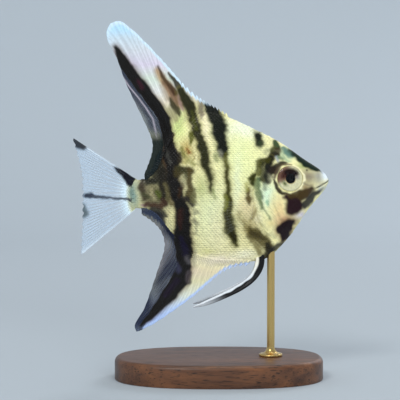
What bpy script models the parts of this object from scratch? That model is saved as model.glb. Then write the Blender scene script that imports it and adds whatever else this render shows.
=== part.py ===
"""A young marble freshwater angelfish, swimming, held over a small oval stand by one brass rod.

The fish is 40 mm long from the lip to the root of the tail fin. Its side view lies in the XZ plane,
nose towards +X and about 5 degrees up, and its left flank faces +Y. Lengths below are in millimetres.
Side-view places are (x, z) measured from the middle of the tail fin's root.
"""

import math

import bmesh
import bpy
import numpy as np
from mathutils import Matrix

MM = 0.001
GAP = 0.3  # between neighbouring solids

# The stand, and how it holds the fish
BASE_LENGTH = 43.0
BASE_WIDTH = 27.0
BASE_HEIGHT = 4.5
BASE_EDGE = 1.0  # round on the top edge
BASE_SIDES = 48
BASE_SQUARENESS = 2.4  # 2 is an ellipse, more is squarer
ROD_RADIUS = 0.8
ROD_SIDES = 16
ROD_DEPTH = 2.4  # how far the rod reaches into the breast
ROD_X = 27.9
FOOT_RADIUS = 2.4
FOOT_HEIGHT = 1.5
FIN_CLEARANCE = 5.0  # from the base up to the lowest fin tip

# The body's side view, from the tail root to the lips
BACK = [(-0.8, 2.9), (2.1, 3.1), (4.0, 4.7), (5.6, 7.7), (7.5, 11.3), (10.1, 14.7), (14.0, 16.8),
        (19.0, 15.75), (25.4, 12.8), (30.3, 10.2), (35.2, 6.75), (38.4, 4.6), (39.8, 3.25)]
BELLY = [(-0.8, -3.1), (1.9, -3.45), (3.8, -4.3), (5.8, -6.4), (8.3, -9.6), (11.6, -12.5), (16.0, -13.95),
         (20.4, -14.2), (24.4, -14.15), (27.1, -13.45), (29.4, -11.6), (32.0, -8.6), (34.4, -5.1),
         (37.0, -1.65), (38.6, 0.15), (39.8, 1.85)]
HALF_WIDTH = [(-0.8, 0.7), (2.0, 0.95), (4.0, 1.25), (7.0, 1.9), (11.0, 2.65), (16.0, 3.2), (21.0, 3.5),
              (25.0, 3.45), (29.0, 3.15), (32.0, 2.85), (35.0, 2.3), (37.5, 1.6), (39.0, 1.1), (39.8, 0.65)]
ROUNDNESS = (2.0, 0.68)  # the cross-section's two exponents, see flank()

# Where the body ends and is parted
STALK_END, LIP_X = -0.8, 39.8
STALK_X = 2.7  # tail stalk from trunk
NAPE_X, GILL_X, THROAT_X = 28.6, 24.2, 31.6  # head from trunk: at the back, behind the gill, at the throat
JAW_X = 37.0
MOUTH = [(36.9, 1.05), (38.4, 1.75), (39.9, 2.75)]  # the closed mouth's line

# Gill covers and eyes
COVER_WIDTH = 4.9
COVER_PINCH = 0.4  # share of the width left at its upper and lower ends
COVER_RANGE = (-0.66, 0.44)  # share of the body's half-height, below and above its middle
BODY_HALF_HEIGHT = 12.5  # at the gill covers
COVER_DEPTH = 0.9
EYE_X, EYE_Y, EYE_Z = 31.6, 2.2, 3.0
EYE_RADIUS, EYE_HALF_DEPTH = 2.75, 1.1
EYE_YAW, EYE_PITCH = 8.0, 6.0  # degrees that each eye looks forward and up, square to the head's side
EYE_SEGMENTS, SOCKET_SEGMENTS = 16, 18

# Fins. The margins of the dorsal and anal fins run from each end of the root to the tip. A reach table says
# which share of the whole margin, front to rear, the rays from each share of the root run out to.
FIN_THIN, FIN_THICK = 0.5, 1.1  # at the margin and at the root
RAY_RELIEF = 0.16  # share of the thickness that falls away between rays
DORSAL_ROOT_X = (19.2, 2.3)
DORSAL_FRONT = [(19.0, 16.4), (16.3, 17.8), (13.0, 19.8), (9.5, 22.9), (6.6, 26.2), (2.8, 30.3), (-1.3, 34.2),
                (-3.7, 35.4), (-5.2, 34.9)]
DORSAL_REAR = [(1.8, 4.0), (2.9, 6.8), (3.5, 9.9), (2.4, 13.4), (-0.3, 19.0), (-2.5, 23.9), (-4.4, 28.8),
               (-6.0, 32.9), (-5.2, 34.9)]
DORSAL_REACH = [(0.0, 0.0), (0.24, 0.12), (0.45, 0.28), (0.56, 0.52), (0.66, 0.66), (0.8, 0.86), (1.0, 1.0)]
DORSAL_CURL = 0.65  # how far the rays take on the margins' curves
ANAL_ROOT_X = (23.6, 1.6)
ANAL_FRONT = [(23.2, -15.0), (20.3, -15.3), (17.0, -17.0), (13.0, -20.4), (7.9, -24.2), (3.3, -27.2),
              (0.1, -28.7)]
ANAL_REAR = [(1.2, -4.4), (3.4, -5.9), (5.3, -8.1), (5.9, -11.2), (5.0, -14.4), (3.8, -18.0), (2.6, -21.5),
             (1.1, -24.9), (-0.2, -27.6), (0.1, -28.7)]
ANAL_REACH = [(0.0, 0.0), (0.3, 0.2), (0.46, 0.44), (0.54, 0.56), (0.7, 0.78), (0.84, 0.9), (1.0, 1.0)]
ANAL_CURL = 0.55
TAIL_MARGIN = [(-13.2, 11.5), (-12.0, 7.3), (-11.2, 3.2), (-11.1, -0.8), (-11.1, -4.6), (-11.3, -8.6),
               (-11.5, -13.0)]
TAIL_ROOT = [(-0.75, 3.2), (-1.4, -0.1), (-0.75, -3.6)]
SWAY = 0.9  # sideways drift of the dorsal and anal fins' tips
TAIL_SWAY, TAIL_LENGTH = 1.6, 10.0

PELVIC_FRONT = [(26.7, -13.9), (25.5, -17.0), (22.6, -19.6), (18.3, -21.7), (14.2, -23.1), (11.8, -23.4)]
PELVIC_REAR = [(24.6, -14.3), (24.0, -16.1), (21.2, -18.6), (17.0, -20.7), (13.6, -22.2), (11.7, -23.1)]
PELVIC_Y = 1.0
PELVIC_SPLAY = 2.3  # how much further out the tips stand
PECTORAL_ROOT = [(25.0, -2.3), (24.4, -4.7)]
PECTORAL_MARGIN = [(16.4, -0.9), (15.0, -2.6), (14.7, -4.9), (15.5, -7.2), (17.6, -8.9)]
PECTORAL_SPREAD = 2.6  # how far out the tips stand from the flank

COLOURS = {
    "skin": (0.78, 0.76, 0.52, 1.0),
    "gill_cover": (0.80, 0.83, 0.60, 1.0),
    "fin": (0.62, 0.66, 0.66, 1.0),
    "eye": (0.70, 0.68, 0.42, 1.0),
    "walnut": (0.10, 0.045, 0.02, 1.0),
    "brass": (0.80, 0.58, 0.26, 1.0),
}
ROUGHNESS = {"skin": 0.35, "gill_cover": 0.25, "fin": 0.4, "eye": 0.08, "walnut": 0.5, "brass": 0.28}
METALLIC = {"brass": 1.0}


def smooth_curve(points, count=400):
    """A natural cubic spline through the points, as count points spaced evenly along it."""
    p = np.array(points, float)
    knot = np.r_[0.0, np.cumsum(np.linalg.norm(np.diff(p, axis=0), axis=1))]
    step = np.diff(knot)
    system, right = np.eye(len(p)), np.zeros_like(p)
    for i in range(1, len(p) - 1):
        system[i, i - 1 : i + 2] = step[i - 1], 2 * (step[i - 1] + step[i]), step[i]
        right[i] = 6 * ((p[i + 1] - p[i]) / step[i] - (p[i] - p[i - 1]) / step[i - 1])
    bend = np.linalg.solve(system, right)
    at = np.linspace(0, knot[-1], 8 * count)
    i = np.clip(np.searchsorted(knot, at) - 1, 0, len(step) - 1)
    h = step[i, None]
    a = (knot[i + 1, None] - at[:, None]) / h
    b = 1 - a
    curve = a * p[i] + b * p[i + 1] + ((a**3 - a) * bend[i] + (b**3 - b) * bend[i + 1]) * h**2 / 6
    return resample(curve, np.linspace(0, 1, count))


def resample(curve, shares):
    """The points at these shares of the curve's length."""
    along = np.r_[0.0, np.cumsum(np.linalg.norm(np.diff(curve, axis=0), axis=1))]
    shares = np.asarray(shares) * along[-1]
    return np.stack([np.interp(shares, along, curve[:, k]) for k in range(curve.shape[1])], axis=-1)


def profile(points):
    """The smooth curve through the points as a function of x."""
    curve = smooth_curve(points)
    return lambda x: np.interp(x, curve[:, 0], curve[:, 1])


back, belly, half_width, mouth = (profile(p) for p in (BACK, BELLY, HALF_WIDTH, MOUTH))
FISH_LIFT = BASE_HEIGHT + FIN_CLEARANCE - ANAL_FRONT[-1][1]
FISH_MIDDLE_X = (max(x for x, _ in BACK) + min(x for x, _ in TAIL_MARGIN)) / 2


def middle(x):
    """Height of the middle of the body at x."""
    return (back(x) + belly(x)) / 2


def half_height(x):
    """Half the body's depth at x, fins left out."""
    return (back(x) - belly(x)) / 2


def mouth_share(x, shift):
    """Where the mouth's line, moved up by shift, crosses x, as a share of the half-height."""
    return (mouth(x) + shift - middle(x)) / half_height(x)


def flank(x, t):
    """Half the body's width at x and at the share t of its half-height: a superellipse's rule."""
    power, root = ROUNDNESS
    return half_width(x) * (1 - np.minimum(np.abs(t), 1.0) ** power) ** root


def keel_z(x, y):
    """Height of the belly's surface at x, y off the middle plane."""
    power, root = ROUNDNESS
    t = (1 - (y / half_width(x)) ** (1 / root)) ** (1 / power)
    return middle(x) - half_height(x) * t


def gill_line(t):
    """x of the parting between head and trunk at the share t of the half-height."""
    end = np.where(t > 0, NAPE_X, THROAT_X)
    return GILL_X + (end - GILL_X) * np.abs(t) ** 1.8


def material(name):
    made = bpy.data.materials.get(name) or bpy.data.materials.new(name)
    made.use_nodes = True
    shader = made.node_tree.nodes["Principled BSDF"]
    shader.inputs["Base Color"].default_value = COLOURS[name]
    shader.inputs["Roughness"].default_value = ROUGHNESS[name]
    shader.inputs["Metallic"].default_value = METALLIC.get(name, 0.0)
    return made


def add_object(name, mesh_data, material_name, in_fish=True):
    """Links a bmesh in millimetres as an object in metres, moved from the fish's frame to the stand's."""
    move = Matrix.Translation((-FISH_MIDDLE_X, 0, FISH_LIFT)) if in_fish else Matrix.Identity(4)
    mesh_data.transform(Matrix.Scale(MM, 4) @ move)
    bmesh.ops.recalc_face_normals(mesh_data, faces=mesh_data.faces)
    mesh = bpy.data.meshes.new(name)
    mesh_data.to_mesh(mesh)
    mesh_data.free()
    mesh.materials.append(material(material_name))
    mesh.shade_smooth()
    mesh.set_sharp_from_angle(angle=math.radians(40))
    made = bpy.data.objects.new(name, mesh)
    bpy.context.scene.collection.objects.link(made)
    return made


def grid_faces(verts):
    """Quads between neighbours in a grid of bmesh vertices."""
    return [
        (verts[i][j], verts[i + 1][j], verts[i + 1][j + 1], verts[i][j + 1])
        for i in range(len(verts) - 1)
        for j in range(len(verts[0]) - 1)
    ]


def add_face(built, corners):
    """Adds the face unless two of its corners are one vertex, when it adds what is left of it."""
    corners = list(dict.fromkeys(corners))
    if len(corners) > 2:
        built.faces.new(corners)


def closed_block(near, far, tiny=1e-4):
    """A closed bmesh between two grids of points. Where the grids meet, their vertices are one."""
    built = bmesh.new()
    near_verts = [[built.verts.new(p) for p in row] for row in near]
    far_verts = [
        [near_verts[i][j] if np.linalg.norm(near[i, j] - far[i, j]) < tiny else built.verts.new(far[i, j])
         for j in range(near.shape[1])]
        for i in range(near.shape[0])
    ]
    for corners in grid_faces(near_verts) + [c[::-1] for c in grid_faces(far_verts)]:
        add_face(built, corners)
    rim = [(i, 0) for i in range(len(near))]
    rim += [(len(near) - 1, j) for j in range(1, near.shape[1])]
    rim += [(i, near.shape[1] - 1) for i in range(len(near) - 2, -1, -1)]
    rim += [(0, j) for j in range(near.shape[1] - 2, 0, -1)]
    for (i, j), (k, m) in zip(rim, rim[1:] + rim[:1]):
        add_face(built, (near_verts[i][j], far_verts[i][j], far_verts[k][m], near_verts[k][m]))
    return built


def body_points(x, t, out=None):
    """Points of the body's surface at x and t, at y = out or on the flank."""
    y = flank(x, t) if out is None else out
    return np.stack([x, y, middle(x) + half_height(x) * t], axis=-1)


def body_block(name, tail_end, head_end, steps, lower=None, upper=None, crowding=1.0):
    """A length of the body, both flanks, between two parting lines given as functions of t."""
    along, around = steps
    share = np.linspace(0, 1, along)[:, None] ** crowding
    height = np.sin(np.linspace(-0.5, 0.5, around) * math.pi)[None, :]
    x = tail_end(height) + (head_end(height) - tail_end(height)) * share
    low = -1.0 if lower is None else lower(x)
    high = 1.0 if upper is None else upper(x)
    t = low + (high - low) * (height + 1) / 2
    right = body_points(x, t)
    return add_object(name, closed_block(right * (1, -1, 1), right), "skin")


def at_x(x):
    """A flat parting line."""
    return bowed(x, 0.0)


def bowed(x, bow):
    """A parting line at x that is moved by bow at its upper and lower ends."""
    return lambda t: x + bow * t**2


def build_body():
    """Tail stalk, trunk, head and the two jaws, parted by thin cuts."""
    body_block("tail_stalk", bowed(STALK_END, 0.5), at_x(STALK_X), (5, 11))
    trunk = body_block("trunk", at_x(STALK_X + GAP), lambda t: gill_line(t) - GAP, (19, 17), crowding=1.35)
    head = body_block("head", gill_line, at_x(JAW_X - GAP), (12, 17))
    lips = bowed(LIP_X, -0.3)
    body_block("upper_jaw", at_x(JAW_X), lips, (5, 7), lower=lambda x: mouth_share(x, GAP / 2))
    body_block("lower_jaw", at_x(JAW_X), lips, (5, 7), upper=lambda x: mouth_share(x, -GAP / 2))
    return trunk, head


def cover_grid(grow, out):
    """Points of a gill cover's plate on the left flank, its outline grown by grow and moved out by out."""
    low, high = COVER_RANGE
    share = np.linspace(0, 1, 7)[:, None]
    across = np.linspace(0, 1, 10)[None, :]
    t = low + (high - low) * across + grow / BODY_HALF_HEIGHT * (2 * across - 1)
    width = COVER_WIDTH * (COVER_PINCH + (1 - COVER_PINCH) * np.sin(math.pi * across) ** 0.7)
    rear = gill_line(t) - 2 * grow
    x = rear + (width + 3 * grow) * share
    t = np.broadcast_to(t, x.shape)
    return body_points(x, t, flank(x, t) + out)


def build_gill_covers(head):
    """Both gill covers, and the pockets in the head that they lie in."""
    for side, name in ((1, "left"), (-1, "right")):
        flip = np.array((1, side, 1))
        cover = closed_block(cover_grid(0, -COVER_DEPTH) * flip, cover_grid(0, 0.15) * flip)
        add_object(f"gill_cover_{name}", cover, "gill_cover")
        pocket = closed_block(cover_grid(GAP, -COVER_DEPTH - GAP) * flip, cover_grid(GAP, 1.5) * flip)
        cut(head, add_object(f"cover_pocket_{name}", pocket, "skin"))


def spheroid(radius, half_depth, side, segments):
    """A flattened ball in an eye's place, turned to look a little forward and up."""
    ball = bmesh.new()
    bmesh.ops.create_uvsphere(ball, u_segments=segments, v_segments=segments // 2, radius=1.0)
    ball.transform(Matrix.Diagonal((radius, half_depth, radius, 1.0)) @ Matrix.Rotation(math.pi / 2, 4, "X"))
    yaw = Matrix.Rotation(math.radians(-side * EYE_YAW), 4, "Z")
    pitch = Matrix.Rotation(math.radians(side * EYE_PITCH), 4, "X")
    ball.transform(Matrix.Translation((EYE_X, side * EYE_Y, EYE_Z)) @ yaw @ pitch)
    return ball


def build_eyes(head):
    """Two flattened eyeballs in sockets cut from the head."""
    for side, name in ((1, "left"), (-1, "right")):
        add_object(f"eye_{name}", spheroid(EYE_RADIUS, EYE_HALF_DEPTH, side, EYE_SEGMENTS), "eye")
        socket = spheroid(EYE_RADIUS + GAP, EYE_HALF_DEPTH + GAP, side, SOCKET_SEGMENTS)
        cut(head, add_object(f"eye_socket_{name}", socket, "skin"))


def cut(target, cutter):
    """Takes the cutter's shape from the target, and hides the cutter."""
    cutter.hide_render = True
    cutter.display_type = "WIRE"
    modifier = target.modifiers.new("cut_" + cutter.name, "BOOLEAN")
    modifier.operation = "DIFFERENCE"
    modifier.object = cutter


def smooth_step(x):
    x = np.clip(x, 0, 1)
    return x * x * (3 - 2 * x)


def fan_sheet(root, margin, rays, rows):
    """A grid of side-view points whose columns are straight rays from the root curve to the margin curve."""
    share = np.linspace(0, 1, 2 * rays + 1)
    starts, ends = resample(root, share), resample(margin, share)
    v = np.linspace(0, 1, rows)[:, None, None]
    return starts + (ends - starts) * v


def swept_sheet(root, front, rear, reach, curl, rays, rows):
    """A grid of side-view points whose columns are rays that sweep back with the fin's own edges.

    A ray near the front takes the shape of the front margin as far as its own end, moved to its own start
    by an offset that dies away along it, and a ray near the rear does the same with the rear margin. Rays
    between pass from the one to the other. curl mixes that shape with a straight ray.
    """
    front, rear = smooth_curve(front), smooth_curve(rear)
    lengths = [np.linalg.norm(np.diff(curve, axis=0), axis=1).sum() for curve in (front, rear)]
    tip = lengths[0] / sum(lengths)
    share = np.linspace(0, 1, 2 * rays + 1)
    starts = resample(root, np.interp(share, [m for _, m in reach], [r for r, _ in reach]))
    front_share, rear_share = np.clip(share / tip, 0, 1), np.clip((1 - share) / (1 - tip), 0, 1)
    ends = np.where((share < tip)[:, None], resample(front, front_share), resample(rear, rear_share))
    v = np.linspace(0, 1, rows)[:, None]
    straight = starts + (ends - starts) * v[..., None]
    shapes = []
    for edge, reached in ((front, front_share), (rear, rear_share)):
        offset = (starts - edge[0]) * (1 - v[..., None]) + (ends - resample(edge, reached)) * v[..., None]
        shapes.append(resample(edge, v * reached) + offset)
    mix = smooth_step((share - 0.1) / 0.8)[:, None]
    return curl * (shapes[0] * (1 - mix) + shapes[1] * mix) + (1 - curl) * straight


def build_fin(name, sheet, sideways, thick=FIN_THICK, thin=FIN_THIN):
    """Solidifies a sheet of side-view points: thickest at the root, with a ridge along each ray."""
    rows, columns = sheet.shape[:2]
    built = bmesh.new()
    verts = [[built.verts.new((x, y, z)) for (x, z), y in zip(*pair)] for pair in zip(sheet, sideways)]
    for corners in grid_faces(verts):
        built.faces.new(corners)
    fin = add_object(name, built, "fin")
    group = fin.vertex_groups.new(name="thickness")
    for row in range(rows):
        taper = (1 - row / (rows - 1)) ** 1.5
        for column in range(columns):
            ridge = 1 - RAY_RELIEF * (column % 2)
            wanted = (thin + (thick - thin) * taper) * ridge
            group.add([row * columns + column], wanted / thick, "REPLACE")
    solidify = fin.modifiers.new("thickness", "SOLIDIFY")
    solidify.thickness = thick * MM
    solidify.offset = 0.0
    solidify.vertex_group = group.name
    solidify.use_quality_normals = True
    return fin


def body_edge(edge, limits, off):
    """The root curve of a fin along the body's edge, off above or below it."""
    x = np.linspace(*limits, 200)
    return np.stack([x, edge(x) + off], axis=-1)


def sway(sheet, amount, middle_z=0.0):
    """Sideways drift that grows with the distance from the body's middle line."""
    away = np.abs(sheet[..., 1] - middle_z)
    return amount * (away / away.max()) ** 2


def build_middle_fins():
    """Dorsal, anal and tail fins, in the middle plane."""
    root = body_edge(back, DORSAL_ROOT_X, GAP)
    dorsal = swept_sheet(root, DORSAL_FRONT, DORSAL_REAR, DORSAL_REACH, DORSAL_CURL, 15, 9)
    build_fin("dorsal_fin", dorsal, sway(dorsal, SWAY))
    root = body_edge(belly, ANAL_ROOT_X, -GAP)
    anal = swept_sheet(root, ANAL_FRONT, ANAL_REAR, ANAL_REACH, ANAL_CURL, 14, 8)
    build_fin("anal_fin", anal, -sway(anal, SWAY))
    tail = fan_sheet(smooth_curve(TAIL_ROOT), smooth_curve(TAIL_MARGIN), 10, 7)
    back_share = (TAIL_ROOT[1][0] - tail[..., 0]) / TAIL_LENGTH
    build_fin("tail_fin", tail, TAIL_SWAY * np.maximum(back_share, 0) ** 2)


def build_pelvic_fins():
    """Two long narrow feelers that sweep back from the breast, splayed a little."""
    front, rear = smooth_curve(PELVIC_FRONT, 14), smooth_curve(PELVIC_REAR, 14)
    across = np.linspace(0, 1, 5)[None, :, None]
    sheet = front[:, None] + (rear - front)[:, None] * across
    inner_y = PELVIC_Y - FIN_THICK / 2
    down = np.linspace(0, 1, len(sheet))[:, None] + 0 * across[..., 0]
    top = keel_z(sheet[0, :, 0], inner_y) - GAP
    sheet[0, :, 1] = np.minimum(sheet[0, :, 1], top)
    for side, name in ((1, "left"), (-1, "right")):
        build_fin(f"pelvic_fin_{name}", sheet, side * (PELVIC_Y + PELVIC_SPLAY * down**1.3), thick=0.9)


def build_pectoral_fins():
    """Two rounded fans behind the gill covers, folded back along the flanks."""
    root = np.array(PECTORAL_ROOT)
    sheet = fan_sheet(root, smooth_curve(PECTORAL_MARGIN), 5, 6)
    t = (sheet[..., 1] - middle(sheet[..., 0])) / half_height(sheet[..., 0])
    skin = flank(sheet[..., 0], t)
    down = np.linspace(0, 1, len(sheet))[:, None]
    out = skin.max() + GAP + FIN_THICK / 2 + PECTORAL_SPREAD * down**1.2
    for side, name in ((1, "left"), (-1, "right")):
        build_fin(f"pectoral_fin_{name}", sheet, side * (out + 0 * skin), thick=0.9)


def build_stand(trunk):
    """An oval base, and a turned rod whose top sits in a socket in the breast."""
    angle = np.linspace(0, 2 * math.pi, BASE_SIDES, endpoint=False)
    power = 2 / BASE_SQUARENESS
    outline = np.stack([
        BASE_LENGTH / 2 * np.sign(np.cos(angle)) * np.abs(np.cos(angle)) ** power,
        BASE_WIDTH / 2 * np.sign(np.sin(angle)) * np.abs(np.sin(angle)) ** power,
    ], axis=-1)
    centre_x = (ROD_X - FISH_MIDDLE_X) - BASE_LENGTH / 4
    slab = bmesh.new()
    floor = slab.faces.new([slab.verts.new((x + centre_x, y, 0)) for x, y in outline])
    raised = bmesh.ops.extrude_face_region(slab, geom=[floor])
    top_verts = [v for v in raised["geom"] if isinstance(v, bmesh.types.BMVert)]
    bmesh.ops.translate(slab, verts=top_verts, vec=(0, 0, BASE_HEIGHT))
    top_edges = [e for e in slab.edges if all(v in top_verts for v in e.verts)]
    bmesh.ops.bevel(slab, geom=top_edges, offset=BASE_EDGE, segments=3, profile=0.5, affect="EDGES")
    add_object("stand_base", slab, "walnut", in_fish=False)

    rod_top = float(belly(ROD_X)) + FISH_LIFT + ROD_DEPTH
    foot = BASE_HEIGHT + GAP
    turned = [(0.0, rod_top), (ROD_RADIUS - 0.2, rod_top), (ROD_RADIUS, rod_top - 0.2),
              (ROD_RADIUS, foot + FOOT_HEIGHT), (ROD_RADIUS + 0.25, foot + 0.6 * FOOT_HEIGHT),
              (FOOT_RADIUS - 0.35, foot + 0.4 * FOOT_HEIGHT), (FOOT_RADIUS, foot + 0.2 * FOOT_HEIGHT),
              (FOOT_RADIUS, foot), (0.0, foot)]
    rod = bmesh.new()
    line = [rod.verts.new((r, 0, z)) for r, z in turned]
    edges = [rod.edges.new(pair) for pair in zip(line, line[1:])]
    bmesh.ops.spin(rod, geom=line + edges, cent=(0, 0, 0), axis=(0, 0, 1), angle=2 * math.pi, steps=ROD_SIDES)
    bmesh.ops.remove_doubles(rod, verts=rod.verts, dist=1e-4)
    rod.transform(Matrix.Translation((ROD_X - FISH_MIDDLE_X, 0, 0)))
    add_object("stand_rod", rod, "brass", in_fish=False)

    socket = bmesh.new()
    depth = ROD_DEPTH + GAP + 4.0
    bmesh.ops.create_cone(socket, cap_ends=True, segments=ROD_SIDES, radius1=ROD_RADIUS + GAP,
                          radius2=ROD_RADIUS + GAP, depth=depth)
    socket.transform(Matrix.Translation((ROD_X - FISH_MIDDLE_X, 0, rod_top + GAP - depth / 2)))
    cut(trunk, add_object("rod_socket", socket, "skin", in_fish=False))


def main():
    for old in list(bpy.data.objects):
        bpy.data.objects.remove(old, do_unlink=True)
    trunk, head = build_body()
    build_gill_covers(head)
    build_eyes(head)
    build_middle_fins()
    build_pelvic_fins()
    build_pectoral_fins()
    build_stand(trunk)


main()
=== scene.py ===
"""The finish of a young marble angelfish on its display stand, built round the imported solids.

Shapes are worked out in millimetres in the fish's own side view: x runs from the middle of the tail fin's
root towards the lips, z up, y towards the left flank. Place moves them to where the solids are.
"""

import logging
import math
from dataclasses import dataclass
from enum import Enum
from typing import Callable

import bmesh
import bpy
import numpy as np
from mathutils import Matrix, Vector


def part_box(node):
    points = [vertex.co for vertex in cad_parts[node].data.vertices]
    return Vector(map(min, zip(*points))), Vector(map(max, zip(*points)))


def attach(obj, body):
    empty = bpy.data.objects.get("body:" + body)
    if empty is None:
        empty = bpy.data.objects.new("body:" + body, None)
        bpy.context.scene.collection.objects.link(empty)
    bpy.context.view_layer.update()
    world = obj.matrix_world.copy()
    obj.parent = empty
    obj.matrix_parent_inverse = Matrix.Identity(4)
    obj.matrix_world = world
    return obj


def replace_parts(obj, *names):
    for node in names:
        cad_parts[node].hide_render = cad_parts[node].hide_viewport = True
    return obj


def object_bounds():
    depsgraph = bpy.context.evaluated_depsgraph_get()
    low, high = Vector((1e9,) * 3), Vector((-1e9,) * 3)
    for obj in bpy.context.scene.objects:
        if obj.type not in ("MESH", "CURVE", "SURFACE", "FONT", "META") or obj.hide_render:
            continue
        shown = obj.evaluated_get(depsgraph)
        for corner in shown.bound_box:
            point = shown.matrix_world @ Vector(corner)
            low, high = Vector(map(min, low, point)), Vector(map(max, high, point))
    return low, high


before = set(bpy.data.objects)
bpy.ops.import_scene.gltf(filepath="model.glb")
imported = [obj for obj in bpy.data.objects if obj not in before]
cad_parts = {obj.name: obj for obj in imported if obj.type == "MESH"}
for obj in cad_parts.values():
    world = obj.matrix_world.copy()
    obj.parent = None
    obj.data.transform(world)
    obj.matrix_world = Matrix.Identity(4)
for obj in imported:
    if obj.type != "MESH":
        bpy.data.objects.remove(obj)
CAD_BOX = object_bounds()

MM = 0.001
SIDES = ((1, "left"), (-1, "right"))
EYE_X, EYE_Z = 31.6, 3.0
# the points' colour: pigment, with painted shade where a piece has it
COLOUR_NAME = "markings_and_shade"
MIX_A, MIX_B, MIX_OUT = "6", "7", 2  # a Mix node's colour inputs and output, by number
Array = np.ndarray
Line = tuple[tuple[float, ...], ...]  # points
Socket = bpy.types.NodeSocket
Material = bpy.types.Material
log = logging.getLogger("angelfish")


# ---------------- curves, noise and colour


def linear(colour: str) -> Array:
    """Turns an sRGB hex value into linear red, green and blue."""
    value = np.array([int(colour[i : i + 2], 16) for i in (1, 3, 5)]) / 255
    return np.where(value <= 0.04045, value / 12.92, ((value + 0.055) / 1.055) ** 2.4)


def mix(paint: Array, colour: str | Array, share: Array) -> Array:
    """Moves a paint towards a hex value or another paint, by a share for each place."""
    return paint + share[..., None] * ((linear(colour) if isinstance(colour, str) else colour) - paint)


def layers(paint: Array, *coats: tuple[str | Array, Array]) -> Array:
    """Lays colours over a paint in order, each with its share for each place, and returns what shows."""
    for colour, share in coats:
        paint = mix(paint, colour, share)
    return paint


def plain(colour: str, shape: tuple[int, ...]) -> Array:
    """A paint of one colour for an array of places."""
    return np.broadcast_to(linear(colour), (*shape, 3)).copy()


def with_alpha(paint: Array, alpha: Array | float = 1.0) -> Array:
    """A paint with its alpha as a fourth value."""
    return np.concatenate([paint, np.broadcast_to(alpha, paint.shape[:-1])[..., None]], axis=-1)


def smooth_step(value: Array, low: float = 0.0, high: float = 1.0) -> Array:
    """Rises from 0 at low to 1 at high with level ends: 3s^2 - 2s^3."""
    share = np.clip((value - low) / (high - low), 0, 1)
    return share * share * (3 - 2 * share)


def fade(value: Array, low: float = 0.0, high: float = 1.0) -> Array:
    """Falls from 1 at low to 0 at high, as smooth_step rises."""
    return 1 - smooth_step(value, low, high)


def bump(value: Array, width: float) -> Array:
    """A bell of height 1: the exponential of minus the square of value over width."""
    return np.exp(-((value / width) ** 2))


def unit(vectors: Array) -> Array:
    """Vectors on the last axis, each made one long."""
    return vectors / np.maximum(np.linalg.norm(vectors, axis=-1, keepdims=True), 1e-12)


def turns(count: int) -> Array:
    """Even angles round a whole turn."""
    return np.linspace(0, 2 * math.pi, count, endpoint=False)


def crossed(rows: Array, columns: Array) -> list[Array]:
    """The rows' and the columns' values at each place of their grid."""
    return np.meshgrid(rows, columns, indexing="ij")


def distance_along(curve: Array) -> Array:
    """How far each point of a curve is along it."""
    return np.r_[0.0, np.cumsum(np.linalg.norm(np.diff(curve, axis=0), axis=1))]


def resample(curve: Array, shares: Array) -> Array:
    """Finds the points at these shares of a curve's length.

    Args:
        curve: Points along the curve, one a row.
        shares: Shares of its length, from 0 to 1, in an array of any shape.

    Returns:
        An array shaped as shares with a last axis of coordinates.
    """
    along = distance_along(curve)
    at = np.asarray(shares) * along[-1]
    return np.stack([np.interp(at, along, column) for column in curve.T], axis=-1)


def smooth_curve(points: Line, count: int = 400) -> Array:
    """A natural cubic spline over chord length through the points, evenly spaced.

    Args:
        points: The points that it passes through.
        count: How many points to return.

    Returns:
        An array of count points.
    """
    p = np.array(points, float)
    knot = distance_along(p)
    step = np.diff(knot)
    system, right = np.eye(len(p)), np.zeros_like(p)
    for i in range(1, len(p) - 1):
        system[i, i - 1 : i + 2] = step[i - 1], 2 * (step[i - 1] + step[i]), step[i]
        right[i] = 6 * ((p[i + 1] - p[i]) / step[i] - (p[i] - p[i - 1]) / step[i - 1])
    bend = np.linalg.solve(system, right)
    at = np.linspace(0, knot[-1], 8 * count)  # eight times as fine as what is returned
    i = np.clip(np.searchsorted(knot, at) - 1, 0, len(step) - 1)
    h = step[i, None]
    a = (knot[i + 1, None] - at[:, None]) / h
    b = 1 - a
    curve = a * p[i] + b * p[i + 1] + ((a**3 - a) * bend[i] + (b**3 - b) * bend[i + 1]) * h**2 / 6
    return resample(curve, np.linspace(0, 1, count))


def profile(points: Line) -> Callable[[Array], Array]:
    """The smooth curve through the points, as a function of x."""
    curve = smooth_curve(points)
    return lambda x: np.interp(x, curve[:, 0], curve[:, 1])


def ripple(points: Array, length: float, seed: int) -> Array:
    """Smooth noise from about -1 to 1: a sum of plane sine waves in fixed directions.

    Args:
        points: Places, one on the last axis, in millimetres.
        length: The waves' typical length in millimetres.
        seed: Chooses the directions, lengths and phases.

    Returns:
        One value for each place.
    """
    waves = 9
    rng = np.random.default_rng(seed)
    total = np.zeros(points.shape[:-1])
    for _ in range(waves):
        heading = rng.normal(size=points.shape[-1])
        heading *= 2 * math.pi / (length * rng.uniform(0.7, 1.6) * np.linalg.norm(heading))
        total += np.sin(points @ heading + rng.uniform(0, 2 * math.pi))
    return total / math.sqrt(waves)


def path_distance(x: Array, z: Array, path: Line) -> tuple[Array, Array]:
    """Distance from places in the side view to a bent line, and the line's width at the nearest point.

    Args:
        x: The places' x.
        z: Their z.
        path: The line's points, each its x, z and width.

    Returns:
        The distances, and the widths there.
    """
    best, width = np.full(x.shape, np.inf), np.zeros(x.shape)
    for (x0, z0, w0), (x1, z1, w1) in zip(path[:-1], path[1:]):
        dx, dz = x1 - x0, z1 - z0
        share = np.clip(((x - x0) * dx + (z - z0) * dz) / (dx * dx + dz * dz + 1e-12), 0, 1)
        away = np.hypot(x - x0 - share * dx, z - z0 - share * dz)
        here = w0 + share * (w1 - w0)
        nearer = away - here / 2 < best - width / 2
        best, width = np.where(nearer, away, best), np.where(nearer, here, width)
    return best, width


# ---------------- places and meshes


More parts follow.
